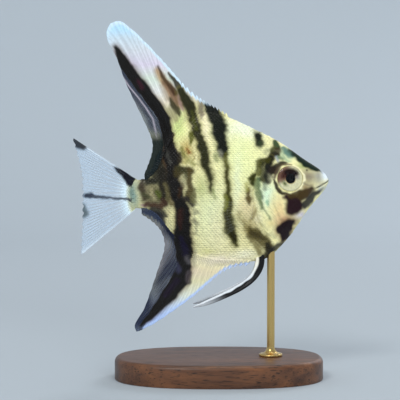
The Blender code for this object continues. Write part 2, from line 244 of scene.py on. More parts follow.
@dataclass(frozen=True)
class Place:
    """Where the fish's frame lies among the solids: the left eye's solid fixes it."""

    def shift(self) -> Array:
        """The move from the fish's frame to the solids', in millimetres."""
        low, high = (np.array(corner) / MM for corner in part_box("eye_left"))
        middle = (low + high) / 2
        return np.array([middle[0] - EYE_X, 0.0, middle[2] - EYE_Z])

    def to_world(self, points: Array) -> Array:
        """Places in the fish's millimetres as metres among the solids."""
        return (points + self.shift()) * MM


@dataclass(frozen=True)
class Standing(Place):
    """The place of the stand's pieces, which are worked out in the solids' own frame."""

    def shift(self) -> Array:
        """No move."""
        return np.zeros(3)


class Mesh:
    """Gathers grids of points, with colours and map places, into one mesh."""

    def __init__(self) -> None:
        """Starts empty."""
        self.points: list[Array] = []
        self.colours: list[Array] = []
        self.places: list[Array] = []
        self.faces: list[Array] = []
        self.count = 0

    def add_grids(
        self, points: Array, colours: Array, places: Array, closed: bool = False, flip: bool = False
    ) -> Array:
        """Adds one or many like grids, with a quad between each four neighbours.

        Args:
            points: Array (many, rows, columns, 3) or (rows, columns, 3), in millimetres.
            colours: Red, green, blue and alpha for each point.
            places: Map places, u and v, for each point.
            closed: Whether the last column joins the first.
            flip: Whether the faces turn the other way.

        Returns:
            The points' numbers, as an array (many, rows, columns).
        """
        if points.ndim == 3:
            points, colours, places = points[None], colours[None], places[None]
        number = np.arange(points[..., 0].size).reshape(points.shape[:3]) + self.count
        around = np.concatenate([number, number[:, :, :1]], axis=2) if closed else number
        self.add_quads(around[:, :-1, :-1], around[:, 1:, :-1], around[:, 1:, 1:], around[:, :-1, 1:], flip)
        self.points.append(points.reshape(-1, 3))
        self.colours.append(np.broadcast_to(colours, points.shape[:3] + (4,)).reshape(-1, 4))
        self.places.append(np.broadcast_to(places, points.shape[:3] + (2,)).reshape(-1, 2))
        self.count += number.size
        return number

    def add_quads(self, a: Array, b: Array, c: Array, d: Array, flip: bool = False) -> None:
        """Adds a quad for each four corner numbers at the same place in four like arrays."""
        quads = np.stack([a, b, c, d], axis=-1).reshape(-1, 4)
        self.faces.append(quads[:, ::-1] if flip else quads)

    def bridge(self, one: Array, other: Array, flip: bool = False) -> None:
        """Adds quads between two matching lines of point numbers on the last axis."""
        self.add_quads(one[..., :-1], one[..., 1:], other[..., 1:], other[..., :-1], flip)

    def cap(self, ring: Array, flip: bool = False) -> None:
        """Closes a ring of point numbers with one face."""
        self.faces.append(ring[None, ::-1] if flip else ring[None])

    def close_sheet(self, near: Array, far: Array) -> None:
        """Joins the rims of two matching grids of point numbers, the second facing the other way."""
        for _ in range(4):
            self.bridge(near[:, 0, :], far[:, 0, :])
            near, far = (np.rot90(grid, axes=(1, 2)) for grid in (near, far))

    def build(
        self, name: str, slot: str, material: Material, place: Place = Place(), merge: float = 0.0
    ) -> bpy.types.Object:
        """Makes the object, in place, riding on the one body.

        Args:
            name: The object's name.
            slot: Not used.
            material: Its material.
            place: Moves the millimetres to the solids' metres.
            merge: Points closer than this, in metres, become one, or 0 to leave them.

        Returns:
            The object.
        """
        points = place.to_world(np.concatenate(self.points))
        loops = np.concatenate([f.ravel() for f in self.faces])
        sizes = np.concatenate([np.full(len(f), f.shape[1]) for f in self.faces])
        mesh = bpy.data.meshes.new(name)
        mesh.vertices.add(len(points))
        mesh.vertices.foreach_set("co", points.astype(np.float32).ravel())
        mesh.loops.add(len(loops))
        mesh.loops.foreach_set("vertex_index", loops.astype(np.int32))
        mesh.polygons.add(len(sizes))
        mesh.polygons.foreach_set("loop_start", np.r_[0, np.cumsum(sizes)[:-1]].astype(np.int32))
        mesh.update(calc_edges=True)
        mesh.validate()
        colour = mesh.color_attributes.new(COLOUR_NAME, "FLOAT_COLOR", "POINT")
        colour.data.foreach_set("color", np.concatenate(self.colours).astype(np.float32).ravel())
        uv = mesh.uv_layers.new(name="OFBake")
        uv.data.foreach_set("uv", np.concatenate(self.places)[loops].astype(np.float32).ravel())
        mesh.materials.append(material)
        mesh.shade_smooth()
        if merge:
            weld(mesh, merge)
        made = bpy.data.objects.new(name, mesh)
        bpy.context.scene.collection.objects.link(made)
        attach(made, "root")
        log.info("%s: %d points, %d faces", name, len(points), len(sizes))
        return made


def weld(mesh: bpy.types.Mesh, distance: float) -> None:
    """Merges points that lie together and turns the faces outwards.

    Args:
        mesh: The mesh.
        distance: Points closer than this, in metres, become one.
    """
    work = bmesh.new()
    work.from_mesh(mesh)
    bmesh.ops.remove_doubles(work, verts=work.verts, dist=distance)
    bmesh.ops.dissolve_degenerate(work, edges=work.edges, dist=1e-7)
    bmesh.ops.recalc_face_normals(work, faces=work.faces)
    work.to_mesh(mesh)
    work.free()


# ---------------- markings


@dataclass(frozen=True)
class Stroke:
    """A pigment mark: a bent line of varying width."""

    path: Line  # x, z and width
    colour: str
    soft: float = 0.45  # width of the edge's blur
    strength: float = 1.0
    fringe: str = ""  # colour of a thin halo
    fringe_width: float = 0.7

    def lay(self, paint: Array, x: Array, z: Array) -> Array:
        """Lays the mark over a paint.

        Args:
            paint: The colours so far.
            x: The places' x, with the pigment's waver added.
            z: Their z.

        Returns:
            The colours with this mark.
        """
        away, width = path_distance(x, z, self.path)
        edge = away - width / 2
        if self.fringe:
            paint = mix(paint, self.fringe, 0.6 * fade(edge, -0.1, self.fringe_width))
        return mix(paint, self.colour, self.strength * fade(edge, -self.soft / 2, self.soft / 2))


@dataclass(frozen=True)
class Wash:
    """A soft round patch of ground colour."""

    x: float
    z: float
    wide: float
    high: float
    colour: str
    strength: float = 0.8
    mottle: float = 0.0  # size of the clouds that break it up, or 0 for a plain patch

    def lay(self, paint: Array, x: Array, z: Array) -> Array:
        """Lays the patch over a paint: a bell in x and z, broken into clouds where mottle is set.

        Args:
            paint: The colours so far.
            x: The places' x.
            z: Their z.

        Returns:
            The colours with this patch.
        """
        cover = self.strength * np.exp(-(((x - self.x) / self.wide) ** 2) - ((z - self.z) / self.high) ** 2)
        if self.mottle:
            cover = cover * smooth_step(ripple(np.stack([x, z], axis=-1), self.mottle, 91), -0.5, 0.7)
        return mix(paint, self.colour, cover)


class Zone(Enum):
    """What the pigment lies on."""

    BODY = "body"
    DORSAL = "dorsal"
    ANAL = "anal"


def arc(radius: float, start: float, end: float, width: float) -> Line:
    """A round stroke about the eye from one angle to another in degrees, thinner at both ends."""
    turn = np.radians(np.linspace(start, end, 9))
    wide = width * (0.4 + 0.6 * np.sin(np.linspace(0, math.pi, 9)))
    return tuple(zip(EYE_X + radius * np.cos(turn), EYE_Z + radius * np.sin(turn), wide))


# each mark: its path's points (x, z and width), colour, softness, strength, fringe and the fringe's width
# fmt: off
REAR_BAR = (
    ((-4.3, 30.1, 0.6), (-3.8, 29.3, 1.3), (-2.9, 27.9, 2.1), (-2.0, 26.0, 2.4), (-0.3, 23.8, 2.5),
     (1.3, 21.6, 2.6), (3.0, 19.5, 2.5), (4.6, 17.4, 2.6), (5.9, 15.2, 2.5), (6.4, 12.6, 2.4),
     (7.0, 9.4, 2.6), (7.5, 6.8, 3.4), (7.7, 4.4, 2.8), (7.7, 2.4, 2.6), (8.3, 0.3, 3.0), (9.3, -1.9, 2.7),
     (9.9, -4.1, 2.5), (9.7, -6.3, 3.1), (9.5, -8.5, 3.8), (9.8, -10.6, 3.8), (10.1, -12.8, 3.6),
     (9.9, -14.6, 3.2), (9.7, -16.2, 3.4), (9.0, -17.9, 3.7), (7.9, -19.5, 3.4), (6.6, -21.1, 3.0),
     (5.5, -22.5, 2.5), (4.3, -23.9, 2.0), (3.1, -25.2, 1.6), (1.8, -26.5, 1.1), (0.7, -27.7, 0.5)),
    "#14110f", 0.5, 1.0, "#5b4026", 0.9,
)
STROKES = (
    # tail stalk: dark saddle, loop of pale on olive, reddish patch low
    (((3.4, 4.2, 1.0), (4.8, 6.6, 1.4), (6.3, 9.8, 1.4), (7.4, 11.8, 1.0)), "#1a1a16", 0.6, 0.98),
    (((5.6, 2.8, 1.7), (5.7, 0.8, 1.5), (5.6, -1.2, 1.5)), "#211d12", 0.9, 0.96),
    (((1.2, 2.2, 1.0), (1.5, 0.6, 1.2), (1.9, -1.0, 1.1)), "#3a3022", 0.7, 0.93),
    (((6.6, 6.9, 3.0), (5.0, 4.4, 2.2), (3.6, 2.6, 1.5), (2.2, 2.5, 1.2), (0.4, 3.0, 0.5)),
     "#211f17", 0.8, 0.96),
    (((1.6, 0.0, 0.8), (2.5, -0.9, 0.8)), "#45452a", 0.6, 0.9),
    (((3.4, 0.7, 0.6), (3.2, -0.3, 0.7), (3.9, -1.3, 0.6)), "#9c946e", 0.6, 0.9),
    (((4.4, 0.2, 0.9), (4.7, -0.8, 0.9)), "#4a5418", 0.7, 0.85),
    (((1.5, -2.3, 0.6), (2.3, -2.5, 0.6)), "#a4728f", 0.7, 0.6),
    (((2.4, -2.2, 1.2), (5.0, -2.7, 1.4), (6.0, -1.6, 1.0)), "#40241b", 0.8, 0.9),
    (((0.5, -3.7, 0.7), (3.4, -3.9, 1.2), (5.2, -4.9, 1.7), (5.9, -6.4, 1.1)), "#20222a", 0.7, 0.95),
    (((5.6, 1.2, 1.2), (6.4, -0.6, 1.0), (7.4, -2.4, 1.0)), "#4d431f", 0.9, 0.85),
    # the wide rear bar, from the dorsal fin's tip to the anal fin's, with red-brown in its heart
    REAR_BAR,
    (((5.4, 4.6, 1.8), (5.8, 2.8, 2.2), (6.0, 0.9, 2.1), (6.3, -0.7, 1.5)), "#1e1b13", 1.0, 0.93),
    (((5.2, -1.4, 0.8), (6.2, -2.2, 0.8)), "#3b281b", 0.7, 0.9),
    (((9.0, 0.8, 0.8), (9.2, -0.8, 0.6)), "#422b14", 0.9, 0.65),
    (((9.3, -3.4, 0.7), (9.4, -5.0, 0.9), (9.2, -7.0, 0.7)), "#3c1d14", 0.9, 0.65),
    (((9.4, -9.2, 1.0), (10.4, -12.4, 1.2)), "#191332", 0.9, 0.7),
    (((8.6, -18.0, 1.4), (6.2, -21.0, 1.2)), "#1c1026", 0.9, 0.7),
    (((6.6, 8.8, 0.5), (7.2, 6.2, 0.8)), "#474640", 0.8, 0.7),
    (((0.6, 23.0, 0.5), (1.4, 21.6, 0.6)), "#4a1b2e", 0.8, 0.6),
    # the hooked streak between the two rear bars
    (((8.8, 4.5, 1.9), (10.2, 4.5, 1.8), (11.4, 4.4, 1.4)), "#3d3519", 0.8, 0.95),
    (((11.0, 4.5, 1.2), (10.9, 2.8, 1.5), (11.2, 0.8, 1.7), (11.3, -0.8, 1.8)), "#463a17", 0.8, 0.95),
    (((10.7, -0.9, 1.5), (11.3, -1.4, 1.5), (11.7, -2.6, 0.9)), "#28231f", 0.7, 0.95),
    (((8.9, 8.3, 0.8), (9.1, 6.6, 0.9)), "#2b2415", 0.7, 0.9),
    (((10.6, 9.3, 0.5), (10.8, 8.3, 0.7)), "#84511c", 0.6, 0.9),
    # the second bar: brown clouds and a dark line in the fin, olive on the flank
    (((4.4, 25.2, 1.3), (6.0, 22.9, 2.0), (7.6, 20.4, 2.6), (9.0, 18.2, 2.2)), "#b18d5d", 1.2, 0.85),
    (((5.6, 22.9, 0.7), (7.4, 20.7, 1.4), (9.2, 18.6, 1.5)), "#80614a", 0.9, 0.85),
    (((8.9, 20.4, 0.5), (9.3, 18.6, 0.7), (9.8, 17.0, 0.5)), "#c9a2a4", 0.6, 0.8),
    (((7.1, 19.5, 0.6), (7.8, 18.2, 1.3), (8.6, 16.9, 1.5), (8.9, 16.1, 0.9)), "#3a351c", 0.7, 0.95),
    (((4.5, 26.1, 0.4), (5.5, 24.3, 0.8), (6.8, 22.4, 1.1), (8.2, 20.7, 1.3)), "#3f2810", 0.6, 0.9),
    (((6.9, 24.7, 0.4), (7.9, 23.4, 0.8), (8.8, 22.2, 1.4), (9.6, 21.0, 1.3)), "#2d2612", 0.5, 0.95),
    (((9.3, 21.3, 1.2), (10.2, 19.4, 1.9), (11.2, 17.4, 2.1), (12.1, 14.9, 1.8), (12.5, 12.6, 2.1),
      (13.6, 10.4, 1.5), (14.1, 8.4, 1.8), (14.4, 6.6, 1.9), (15.1, 4.9, 1.0), (15.4, 3.4, 0.9),
      (15.5, 1.8, 0.7), (15.6, 0.6, 0.5)), "#2b2a12", 0.6, 1.0, "#716a2e", 1.0),
    (((11.6, 16.6, 0.6), (12.2, 13.4, 0.8)), "#4c4f14", 0.8, 0.8),
    # the third bar: black above, pinched, olive below
    (((14.9, 18.3, 1.7), (15.8, 17.0, 2.7), (16.7, 15.2, 2.7), (17.1, 13.4, 2.5), (17.5, 11.4, 2.4),
      (17.8, 9.6, 2.2), (18.0, 8.2, 1.5)), "#12160e", 0.55, 1.0, "#4f5628", 0.8),
    (((17.2, 8.6, 0.7), (17.8, 7.6, 0.6)), "#94937e", 0.7, 0.7),
    (((18.4, 6.7, 0.5), (18.5, 4.9, 0.7), (18.6, 3.4, 1.0), (18.9, 1.6, 1.0), (19.1, 0.2, 0.9),
      (19.1, -1.4, 1.5), (19.1, -3.6, 1.8), (19.2, -5.8, 1.9), (19.5, -7.9, 2.3), (20.1, -9.5, 1.8),
      (20.6, -10.6, 0.6)), "#3a370d", 0.6, 1.0, "#8a8448", 0.9),
    (((18.4, 8.2, 0.7), (18.5, 6.8, 0.7), (18.6, 5.6, 0.8)), "#56551f", 0.6, 0.85),
    (((19.1, -4.4, 0.9), (19.4, -7.0, 1.2), (20.2, -9.3, 1.0)), "#1f1d08", 0.8, 0.85),
    # nape dash, temple blotch and the marks behind the eye
    (((25.0, 12.2, 1.2), (25.1, 11.2, 1.5), (25.3, 10.1, 1.3)), "#161b0f", 0.5, 1.0, "#73764f"),
    (((28.8, 10.5, 1.3), (29.0, 9.6, 1.8)), "#173c1c", 0.5, 0.95),
    (((29.2, 8.6, 1.9), (28.5, 8.3, 2.3)), "#3c301c", 0.7, 0.9),
    (((29.6, 7.9, 0.8), (28.0, 8.0, 1.0), (27.4, 7.0, 1.3)), "#231f14", 0.6, 0.95),
    (((27.4, 7.0, 1.4), (27.2, 5.6, 1.7)), "#1b1a0e", 0.6, 1.0, "#6d6636"),
    (((26.9, 6.5, 1.3), (25.7, 6.6, 1.4)), "#3a380a", 0.6, 0.97),
    (((25.7, 5.9, 1.1), (25.8, 4.4, 1.1), (26.3, 2.8, 1.2)), "#2b2a10", 0.6, 0.9),
    (((27.6, 4.2, 1.0), (28.3, 3.5, 1.0)), "#6b6757", 1.0, 0.8),
    (((27.0, 5.2, 1.5), (26.8, 3.8, 1.4), (26.9, 2.6, 1.0)), "#191b13", 0.6, 0.95),
    (((28.9, 7.1, 0.9), (29.1, 6.5, 0.7)), "#a4abb4", 0.7, 0.9),
    (((27.5, 4.6, 1.3), (28.7, 5.2, 1.2), (29.8, 6.0, 0.9), (30.8, 6.4, 0.5)), "#1a140e", 0.5, 0.95),
    (((28.2, 5.1, 1.3), (28.9, 4.6, 1.1)), "#241b13", 0.6, 0.95),
    (((24.4, 2.8, 0.6), (25.7, 3.1, 0.8)), "#3a3a12", 0.5, 0.85),
    (((24.3, 4.0, 0.7), (24.0, 3.0, 1.1), (24.0, 2.0, 0.9)), "#33350a", 0.6, 1.0, "#96964c"),
    (((23.2, 0.9, 0.7), (23.2, -0.8, 1.2), (23.4, -2.0, 0.6)), "#57471d", 0.7, 0.95),
    (((30.3, 9.2, 0.6), (31.2, 8.5, 1.1), (32.2, 8.0, 0.9)), "#3f6a66", 0.7, 0.85),
    (((31.6, 8.8, 0.5), (32.6, 8.1, 1.0), (33.6, 7.5, 1.3)), "#10271e", 0.7, 0.93),
    # the gill cover's edge and the dusk within it
    (((25.4, 3.2, 0.5), (25.2, 1.4, 0.6), (25.6, -0.6, 0.7)), "#4c6850", 0.7, 0.85),
    (((25.1, -1.0, 0.4), (26.2, -3.2, 0.3), (27.6, -5.2, 0.35)), "#66784f", 0.5, 0.85),
    (((26.9, -1.6, 0.7), (27.1, -2.2, 0.7)), "#93c09c", 0.6, 0.8),
    # forehead edge
    (((32.4, 8.5, 0.7), (33.6, 7.5, 1.3), (35.0, 6.5, 1.5), (36.4, 5.6, 1.4), (37.6, 4.8, 1.1),
      (38.4, 4.4, 0.5)), "#0c2015", 0.6),
    # the ring round the eye, the line below it and the blotch before it
    (arc(2.85, -70, 100, 0.55), "#f3ecc4", 0.4, 0.85),
    (arc(3.3, 182, 272, 0.95), "#241e0e", 0.4, 0.96),
    (arc(3.0, 88, 175, 0.8), "#4c3e2d", 0.5, 0.9),
    (((31.2, -1.0, 1.0), (32.2, -1.4, 2.4), (32.6, -2.1, 3.3), (32.1, -3.1, 2.7), (32.0, -3.9, 1.3)),
     "#22070f", 0.6, 1.0, "#5a3a20"),
    (((33.8, -0.4, 1.8), (35.0, -0.2, 1.8), (36.4, 0.8, 1.2)), "#33210f", 0.9, 0.97),
    (((34.6, -2.4, 1.4), (35.6, -1.5, 1.7), (36.8, -0.2, 1.2), (38.2, 0.8, 0.7)), "#15161d", 0.7, 0.95),
    (((34.6, 1.9, 0.6), (36.2, 1.6, 0.5)), "#5b4f44", 0.8, 0.6),
    # breast
    (((32.6, -5.8, 0.8), (31.0, -6.6, 2.4), (30.5, -7.4, 3.0), (30.8, -8.6, 2.0), (30.3, -9.7, 0.7)),
     "#1b0b10", 0.6, 1.0, "#7a4e2c", 1.2),
    (((23.4, -7.2, 1.3), (24.3, -8.2, 2.8), (25.8, -9.2, 2.7), (27.2, -10.9, 2.2)), "#574c20", 0.9, 0.93),
    (((23.6, -7.6, 0.8), (25.0, -8.6, 1.4), (26.2, -9.3, 0.7)), "#332a0c", 0.8, 0.8),
    (((27.0, -10.6, 1.2), (27.5, -12.0, 1.8), (27.0, -13.6, 2.0)), "#211d0f", 0.7, 0.95),
    (((27.6, -12.6, 1.2), (28.6, -11.3, 1.3), (30.2, -10.4, 0.8)), "#1b1818", 0.6, 0.9),
    (((24.6, -3.2, 0.5), (23.9, -4.4, 0.6), (23.2, -5.6, 0.5)), "#8d7f4e", 0.7, 0.75),
    (((21.6, -3.8, 0.6), (21.1, -5.2, 0.6)), "#a59a68", 0.7, 0.6),
    (((21.8, -5.4, 0.8), (22.4, -6.6, 1.2), (23.0, -7.4, 0.9)), "#877a46", 0.8, 0.75),
    (((24.0, -9.8, 0.9), (25.0, -11.0, 1.3), (25.7, -12.4, 1.2)), "#7a6f40", 0.8, 0.85),
    # softer marks: round the temple, the gill cover's edge and the brow
    (((25.1, 6.4, 0.9), (25.0, 5.2, 1.1), (25.1, 4.0, 0.9)), "#52511c", 0.5, 0.9),
    (((25.1, 3.2, 0.6), (24.8, 1.6, 1.2), (24.8, 0.2, 1.1), (25.1, -1.2, 0.8), (25.7, -2.8, 0.7)),
     "#68774e", 0.5, 0.85),
    (((26.3, 2.0, 0.8), (26.4, 1.0, 0.8)), "#82917a", 0.7, 0.75),
    (((29.3, 7.3, 0.8), (30.0, 7.1, 0.9)), "#68805f", 0.6, 0.85),
    (((30.6, 7.3, 0.8), (31.3, 7.0, 0.6)), "#9ab38f", 0.7, 0.8),
    (((28.5, 9.4, 1.0), (27.9, 8.9, 1.2)), "#4f522a", 0.6, 0.7),
    (((27.0, 8.8, 0.8), (26.6, 8.4, 0.8)), "#a3a37c", 0.6, 0.7),
    (((25.4, 10.4, 1.0), (25.6, 9.6, 1.0)), "#363f28", 0.6, 0.85),
    (((31.8, -0.6, 1.1), (32.8, -0.2, 1.6), (33.9, -0.3, 1.6), (34.8, 0.0, 1.2)), "#40300f", 0.6, 0.93),
    (((27.3, 3.9, 0.8), (27.3, 3.0, 0.8)), "#8a896e", 0.6, 0.7),
    (((22.8, 2.2, 0.6), (22.8, 1.0, 0.9)), "#96923e", 0.6, 0.7),
    # and between the bars
    (((13.3, 18.8, 1.2), (13.5, 17.0, 1.2), (13.8, 15.4, 0.8)), "#7d7260", 0.8, 0.88),
    (((7.0, 17.4, 0.9), (7.7, 16.2, 1.2), (8.3, 15.0, 0.9)), "#978c68", 0.9, 0.7),
    (((5.1, 22.0, 0.6), (5.8, 20.6, 0.8), (6.6, 19.2, 0.8)), "#a8977f", 0.8, 0.6),
    (((10.9, 6.6, 1.0), (12.0, 6.0, 1.0)), "#9c9a60", 0.8, 0.7),
    (((11.2, 12.4, 1.0), (11.3, 11.4, 1.3), (11.4, 10.5, 0.8)), "#56580d", 0.6, 0.92),
    (((9.5, 9.2, 0.7), (9.6, 8.4, 0.9), (9.9, 7.6, 0.6)), "#6c6c28", 0.6, 0.8),
    (((9.0, 5.2, 1.0), (9.8, 4.4, 1.2), (10.1, 3.4, 0.8)), "#38361a", 0.6, 0.85),
    (((12.2, 0.9, 0.8), (12.1, -0.4, 1.1), (12.2, -1.6, 1.0)), "#6c6842", 0.6, 0.85),
    (((16.6, 8.0, 1.0), (16.9, 6.8, 1.1)), "#969a6a", 0.8, 0.88),
    (((18.3, -0.5, 0.8), (18.3, -1.8, 1.1), (18.4, -2.9, 0.8)), "#73742e", 0.5, 0.9),
    (((16.1, 0.9, 0.6), (16.2, -0.8, 0.8)), "#97a068", 0.7, 0.75),
    (((12.3, -11.8, 0.6), (12.4, -13.4, 0.7), (12.2, -15.0, 0.6)), "#9a967e", 0.8, 0.6),
    (((11.0, -16.6, 1.2), (10.9, -18.1, 1.3)), "#443c3e", 0.6, 0.9),
    (((8.4, -14.6, 0.9), (8.8, -15.8, 1.1)), "#3d3c55", 0.9, 0.7),
    (((10.8, -13.2, 0.8), (11.2, -14.2, 0.9)), "#5c585c", 0.9, 0.7),
    (((3.6, -3.2, 0.9), (5.4, -3.7, 1.2), (6.4, -4.8, 0.9)), "#2b2a28", 0.6, 0.85),
    (((2.6, 2.2, 1.0), (3.6, 2.2, 1.1), (4.6, 2.4, 0.9)), "#1e1e14", 0.6, 0.85),
    (((6.2, 1.8, 0.7), (6.5, 0.4, 0.9), (6.5, -1.0, 1.0)), "#6b6340", 0.7, 0.7),
)
TAIL_MARKS = (
    (((0.2, 1.6, 1.0), (-0.9, 2.3, 2.1), (-2.3, 3.9, 1.5), (-4.2, 5.2, 0.6)), "#10121c", 0.6),
    (((-0.4, -1.4, 0.7), (-4.0, -1.1, 0.5), (-10.2, -0.6, 0.9)), "#1a2030", 0.5, 0.9),
    (((-9.4, -0.4, 1.1), (-10.8, -0.5, 0.9)), "#20283a", 0.7, 0.7),
    (((-11.0, 10.0, 2.4), (-12.8, 10.8, 2.0)), "#0d0f16", 0.9, 0.95),
    (((-11.2, -3.2, 2.2), (-10.6, -4.4, 1.6)), "#2c3f3c", 1.0, 0.8),
)
# each wash: x, z, width, height, colour, strength and the size of its clouds
WASHES = (
    (21.5, 8.0, 4.0, 7.0, "#f1f7b6", 0.9),
    (22.5, 13.4, 5.0, 2.0, "#f6fbe0", 0.9),
    (20.9, 2.0, 0.9, 6.0, "#eaf3cf", 0.6),
    (8.8, 14.2, 1.6, 4.0, "#dcec98", 0.85),
    (10.5, 9.2, 1.3, 2.0, "#bfa457", 0.85),
    (14.6, 14.5, 0.9, 4.5, "#f6ecc4", 0.8),
    (15.3, -4.0, 3.0, 6.0, "#e4eebe", 0.75),
    (13.6, 1.2, 1.4, 2.4, "#b4ba78", 0.75),
    (17.0, -8.0, 2.6, 5.0, "#efe8ba", 0.7),
    (15.0, -12.2, 1.6, 0.9, "#e2e08e", 0.7),
    (17.5, -13.8, 6.0, 1.4, "#fff3da", 0.9),
    (22.4, -12.7, 2.4, 1.0, "#fffbd8", 0.85),
    (23.0, -3.0, 2.0, 3.0, "#efdcae", 0.7),
    (21.4, -4.6, 1.3, 1.8, "#b8b27e", 0.6),
    (24.8, -5.4, 1.1, 1.0, "#fff9cf", 0.9),
    (28.0, -6.0, 1.0, 0.9, "#e2cd86", 0.8),
    (23.5, -6.6, 1.9, 2.4, "#ac9c64", 0.75),
    (25.2, 3.0, 1.2, 3.5, "#eef6a6", 0.6),
    (26.9, -0.4, 1.7, 2.8, "#dff7da", 0.95),
    (28.4, -3.6, 1.8, 2.6, "#f0efb6", 0.9),
    (29.6, -3.8, 1.4, 2.8, "#f3d59a", 0.8),
    (30.4, -5.3, 1.8, 1.1, "#d5ae84", 0.9),
    (31.0, 8.3, 2.6, 1.2, "#b4cba4", 0.85),
    (34.9, 5.9, 2.0, 0.9, "#6f8a3f", 0.8),
    (35.3, 3.6, 1.7, 1.7, "#827663", 0.95),
    (37.5, 3.4, 1.3, 1.5, "#93938c", 0.9),
    (39.4, 3.6, 0.9, 1.0, "#e3f0ff", 1.0),
    (38.6, 1.2, 1.0, 0.8, "#9db0c9", 0.8),
    (34.9, 0.8, 1.6, 1.2, "#7c6040", 0.85),
    (33.8, -4.4, 1.1, 0.9, "#e6dfee", 0.9),
    (12.2, -5.4, 0.9, 4.0, "#77765f", 0.85, 1.3),
    (9.6, 2.4, 0.8, 1.4, "#908e6e", 0.85),
    (11.6, 7.4, 1.8, 3.2, "#8c7d3c", 0.65, 0.8),
    (3.8, -0.4, 2.7, 3.6, "#3b341d", 1.0),
    (3.7, -0.4, 0.9, 1.4, "#706a4e", 0.9),
    (5.7, 3.2, 1.2, 1.7, "#23231a", 0.92),
    (10.2, 6.7, 1.3, 1.0, "#a39a58", 0.75),
    (6.2, 2.0, 1.3, 4.6, "#2c2719", 0.9),
    (1.6, 1.5, 1.2, 1.2, "#4c3f33", 0.9),
    (6.9, -4.6, 0.8, 1.7, "#d3ca98", 0.9),
    (4.9, -4.4, 1.3, 0.9, "#3a3426", 0.85),
    (-0.5, -0.2, 1.3, 3.6, "#79958f", 0.95),
)
# the fins' own ground colours away from the body, at levels of z
FIN_GROUNDS = {
    Zone.DORSAL: ((17.0, "#e9e6b4"), (18.5, "#f6ead2"), (21.0, "#f0f0ee"), (23.5, "#dce8da"),
        (26.5, "#dcd4e6"), (29.5, "#d6dce4"), (32.0, "#cbdce8"), (33.6, "#bce2fb")),
    Zone.ANAL: ((-26.0, "#abc3f4"), (-23.5, "#c0d3f0"), (-21.0, "#dee4d8"), (-18.0, "#e2dcb4"),
        (-15.5, "#e6d3bf")),
}
# fmt: on


@dataclass(frozen=True)
class Marble:
    """The marble pattern: bright cream broken by black, olive and brown bars and blotches."""

    ground: str = "#f1eab0"
    washes: tuple[Wash, ...] = tuple(Wash(*row) for row in WASHES)
    strokes: tuple[Stroke, ...] = tuple(Stroke(*row) for row in STROKES)

    def paint(self, points: Array, zone: Zone = Zone.BODY, beyond: Array | float = 0.0) -> Array:
        """The pigment's linear colour at places on the fish.

        The ground is laid first, then the washes, then the strokes, at places that a slow and a fine ripple
        have moved, so that no edge is drawn with a ruler.

        Args:
            points: Places in millimetres.
            zone: What they lie on.
            beyond: On a fin, how far each place is from the fin's root, in millimetres.

        Returns:
            Red, green and blue for each place.
        """
        calm = 1 - 0.5 * smooth_step(beyond, 0.5, 4.0)
        x = points[..., 0] + calm * (0.22 * ripple(points, 3.2, 11) + 0.09 * ripple(points, 1.1, 12))
        z = points[..., 2] + calm * (0.22 * ripple(points, 3.4, 13) + 0.09 * ripple(points, 1.2, 14))
        paint = plain(self.ground, x.shape)
        for wash in self.washes:
            paint = wash.lay(paint, x, z)
        if zone in FIN_GROUNDS:
            levels, colours = zip(*FIN_GROUNDS[zone])
            values = np.array([linear(colour) for colour in colours])
            fin = np.stack([np.interp(z, levels, channel) for channel in values.T], axis=-1)
            paint = mix(paint, fin, smooth_step(beyond, 1.0, 4.5))
        for stroke in self.strokes:
            paint = stroke.lay(paint, x, z)
        return paint


# ---------------- finishes


class Blank:
    """A new material, to be given its nodes."""

    def __init__(self, name: str) -> None:
        """Makes it plain."""
        self.material = bpy.data.materials.new(name)
        self.material.use_nodes = True
        self.tree = self.material.node_tree

    @property
    def where(self) -> Socket:
        """Places in the object's own coordinates."""
        return self.node("TexCoord", "Object")

    def node(
        self, kind: str, out: str | int, links: dict[str, object] | None = None, **settings: object
    ) -> Socket:
        """Adds one node.

        Args:
            kind: The node's type, without "ShaderNode".
            out: Which output is wanted.
            links: Its inputs, as feed takes them.
            settings: The node's own properties.

        Returns:
            That output.
        """
        made = self.tree.nodes.new("ShaderNode" + kind)
        for name, value in settings.items():
            setattr(made, name, value)
        self.feed(made, links or {})
        return made.outputs[out]

    def feed(self, target: bpy.types.Node, links: dict[str, object]) -> None:
        """Sets a node's inputs.

        Args:
            target: The node.
            links: Input name, or number as text, to a value or to the output that feeds it.
        """
        for name, value in links.items():
            socket = target.inputs[int(name) if name.isdigit() else name]
            if isinstance(value, Socket):
                self.tree.links.new(value, socket)
            else:
                socket.default_value = value

    def shade(self, links: dict[str, object]) -> Material:
        """Sets the main shader's inputs, as feed takes them, and returns the finished material."""
        self.feed(self.tree.nodes["Principled BSDF"], links)
        return self.material


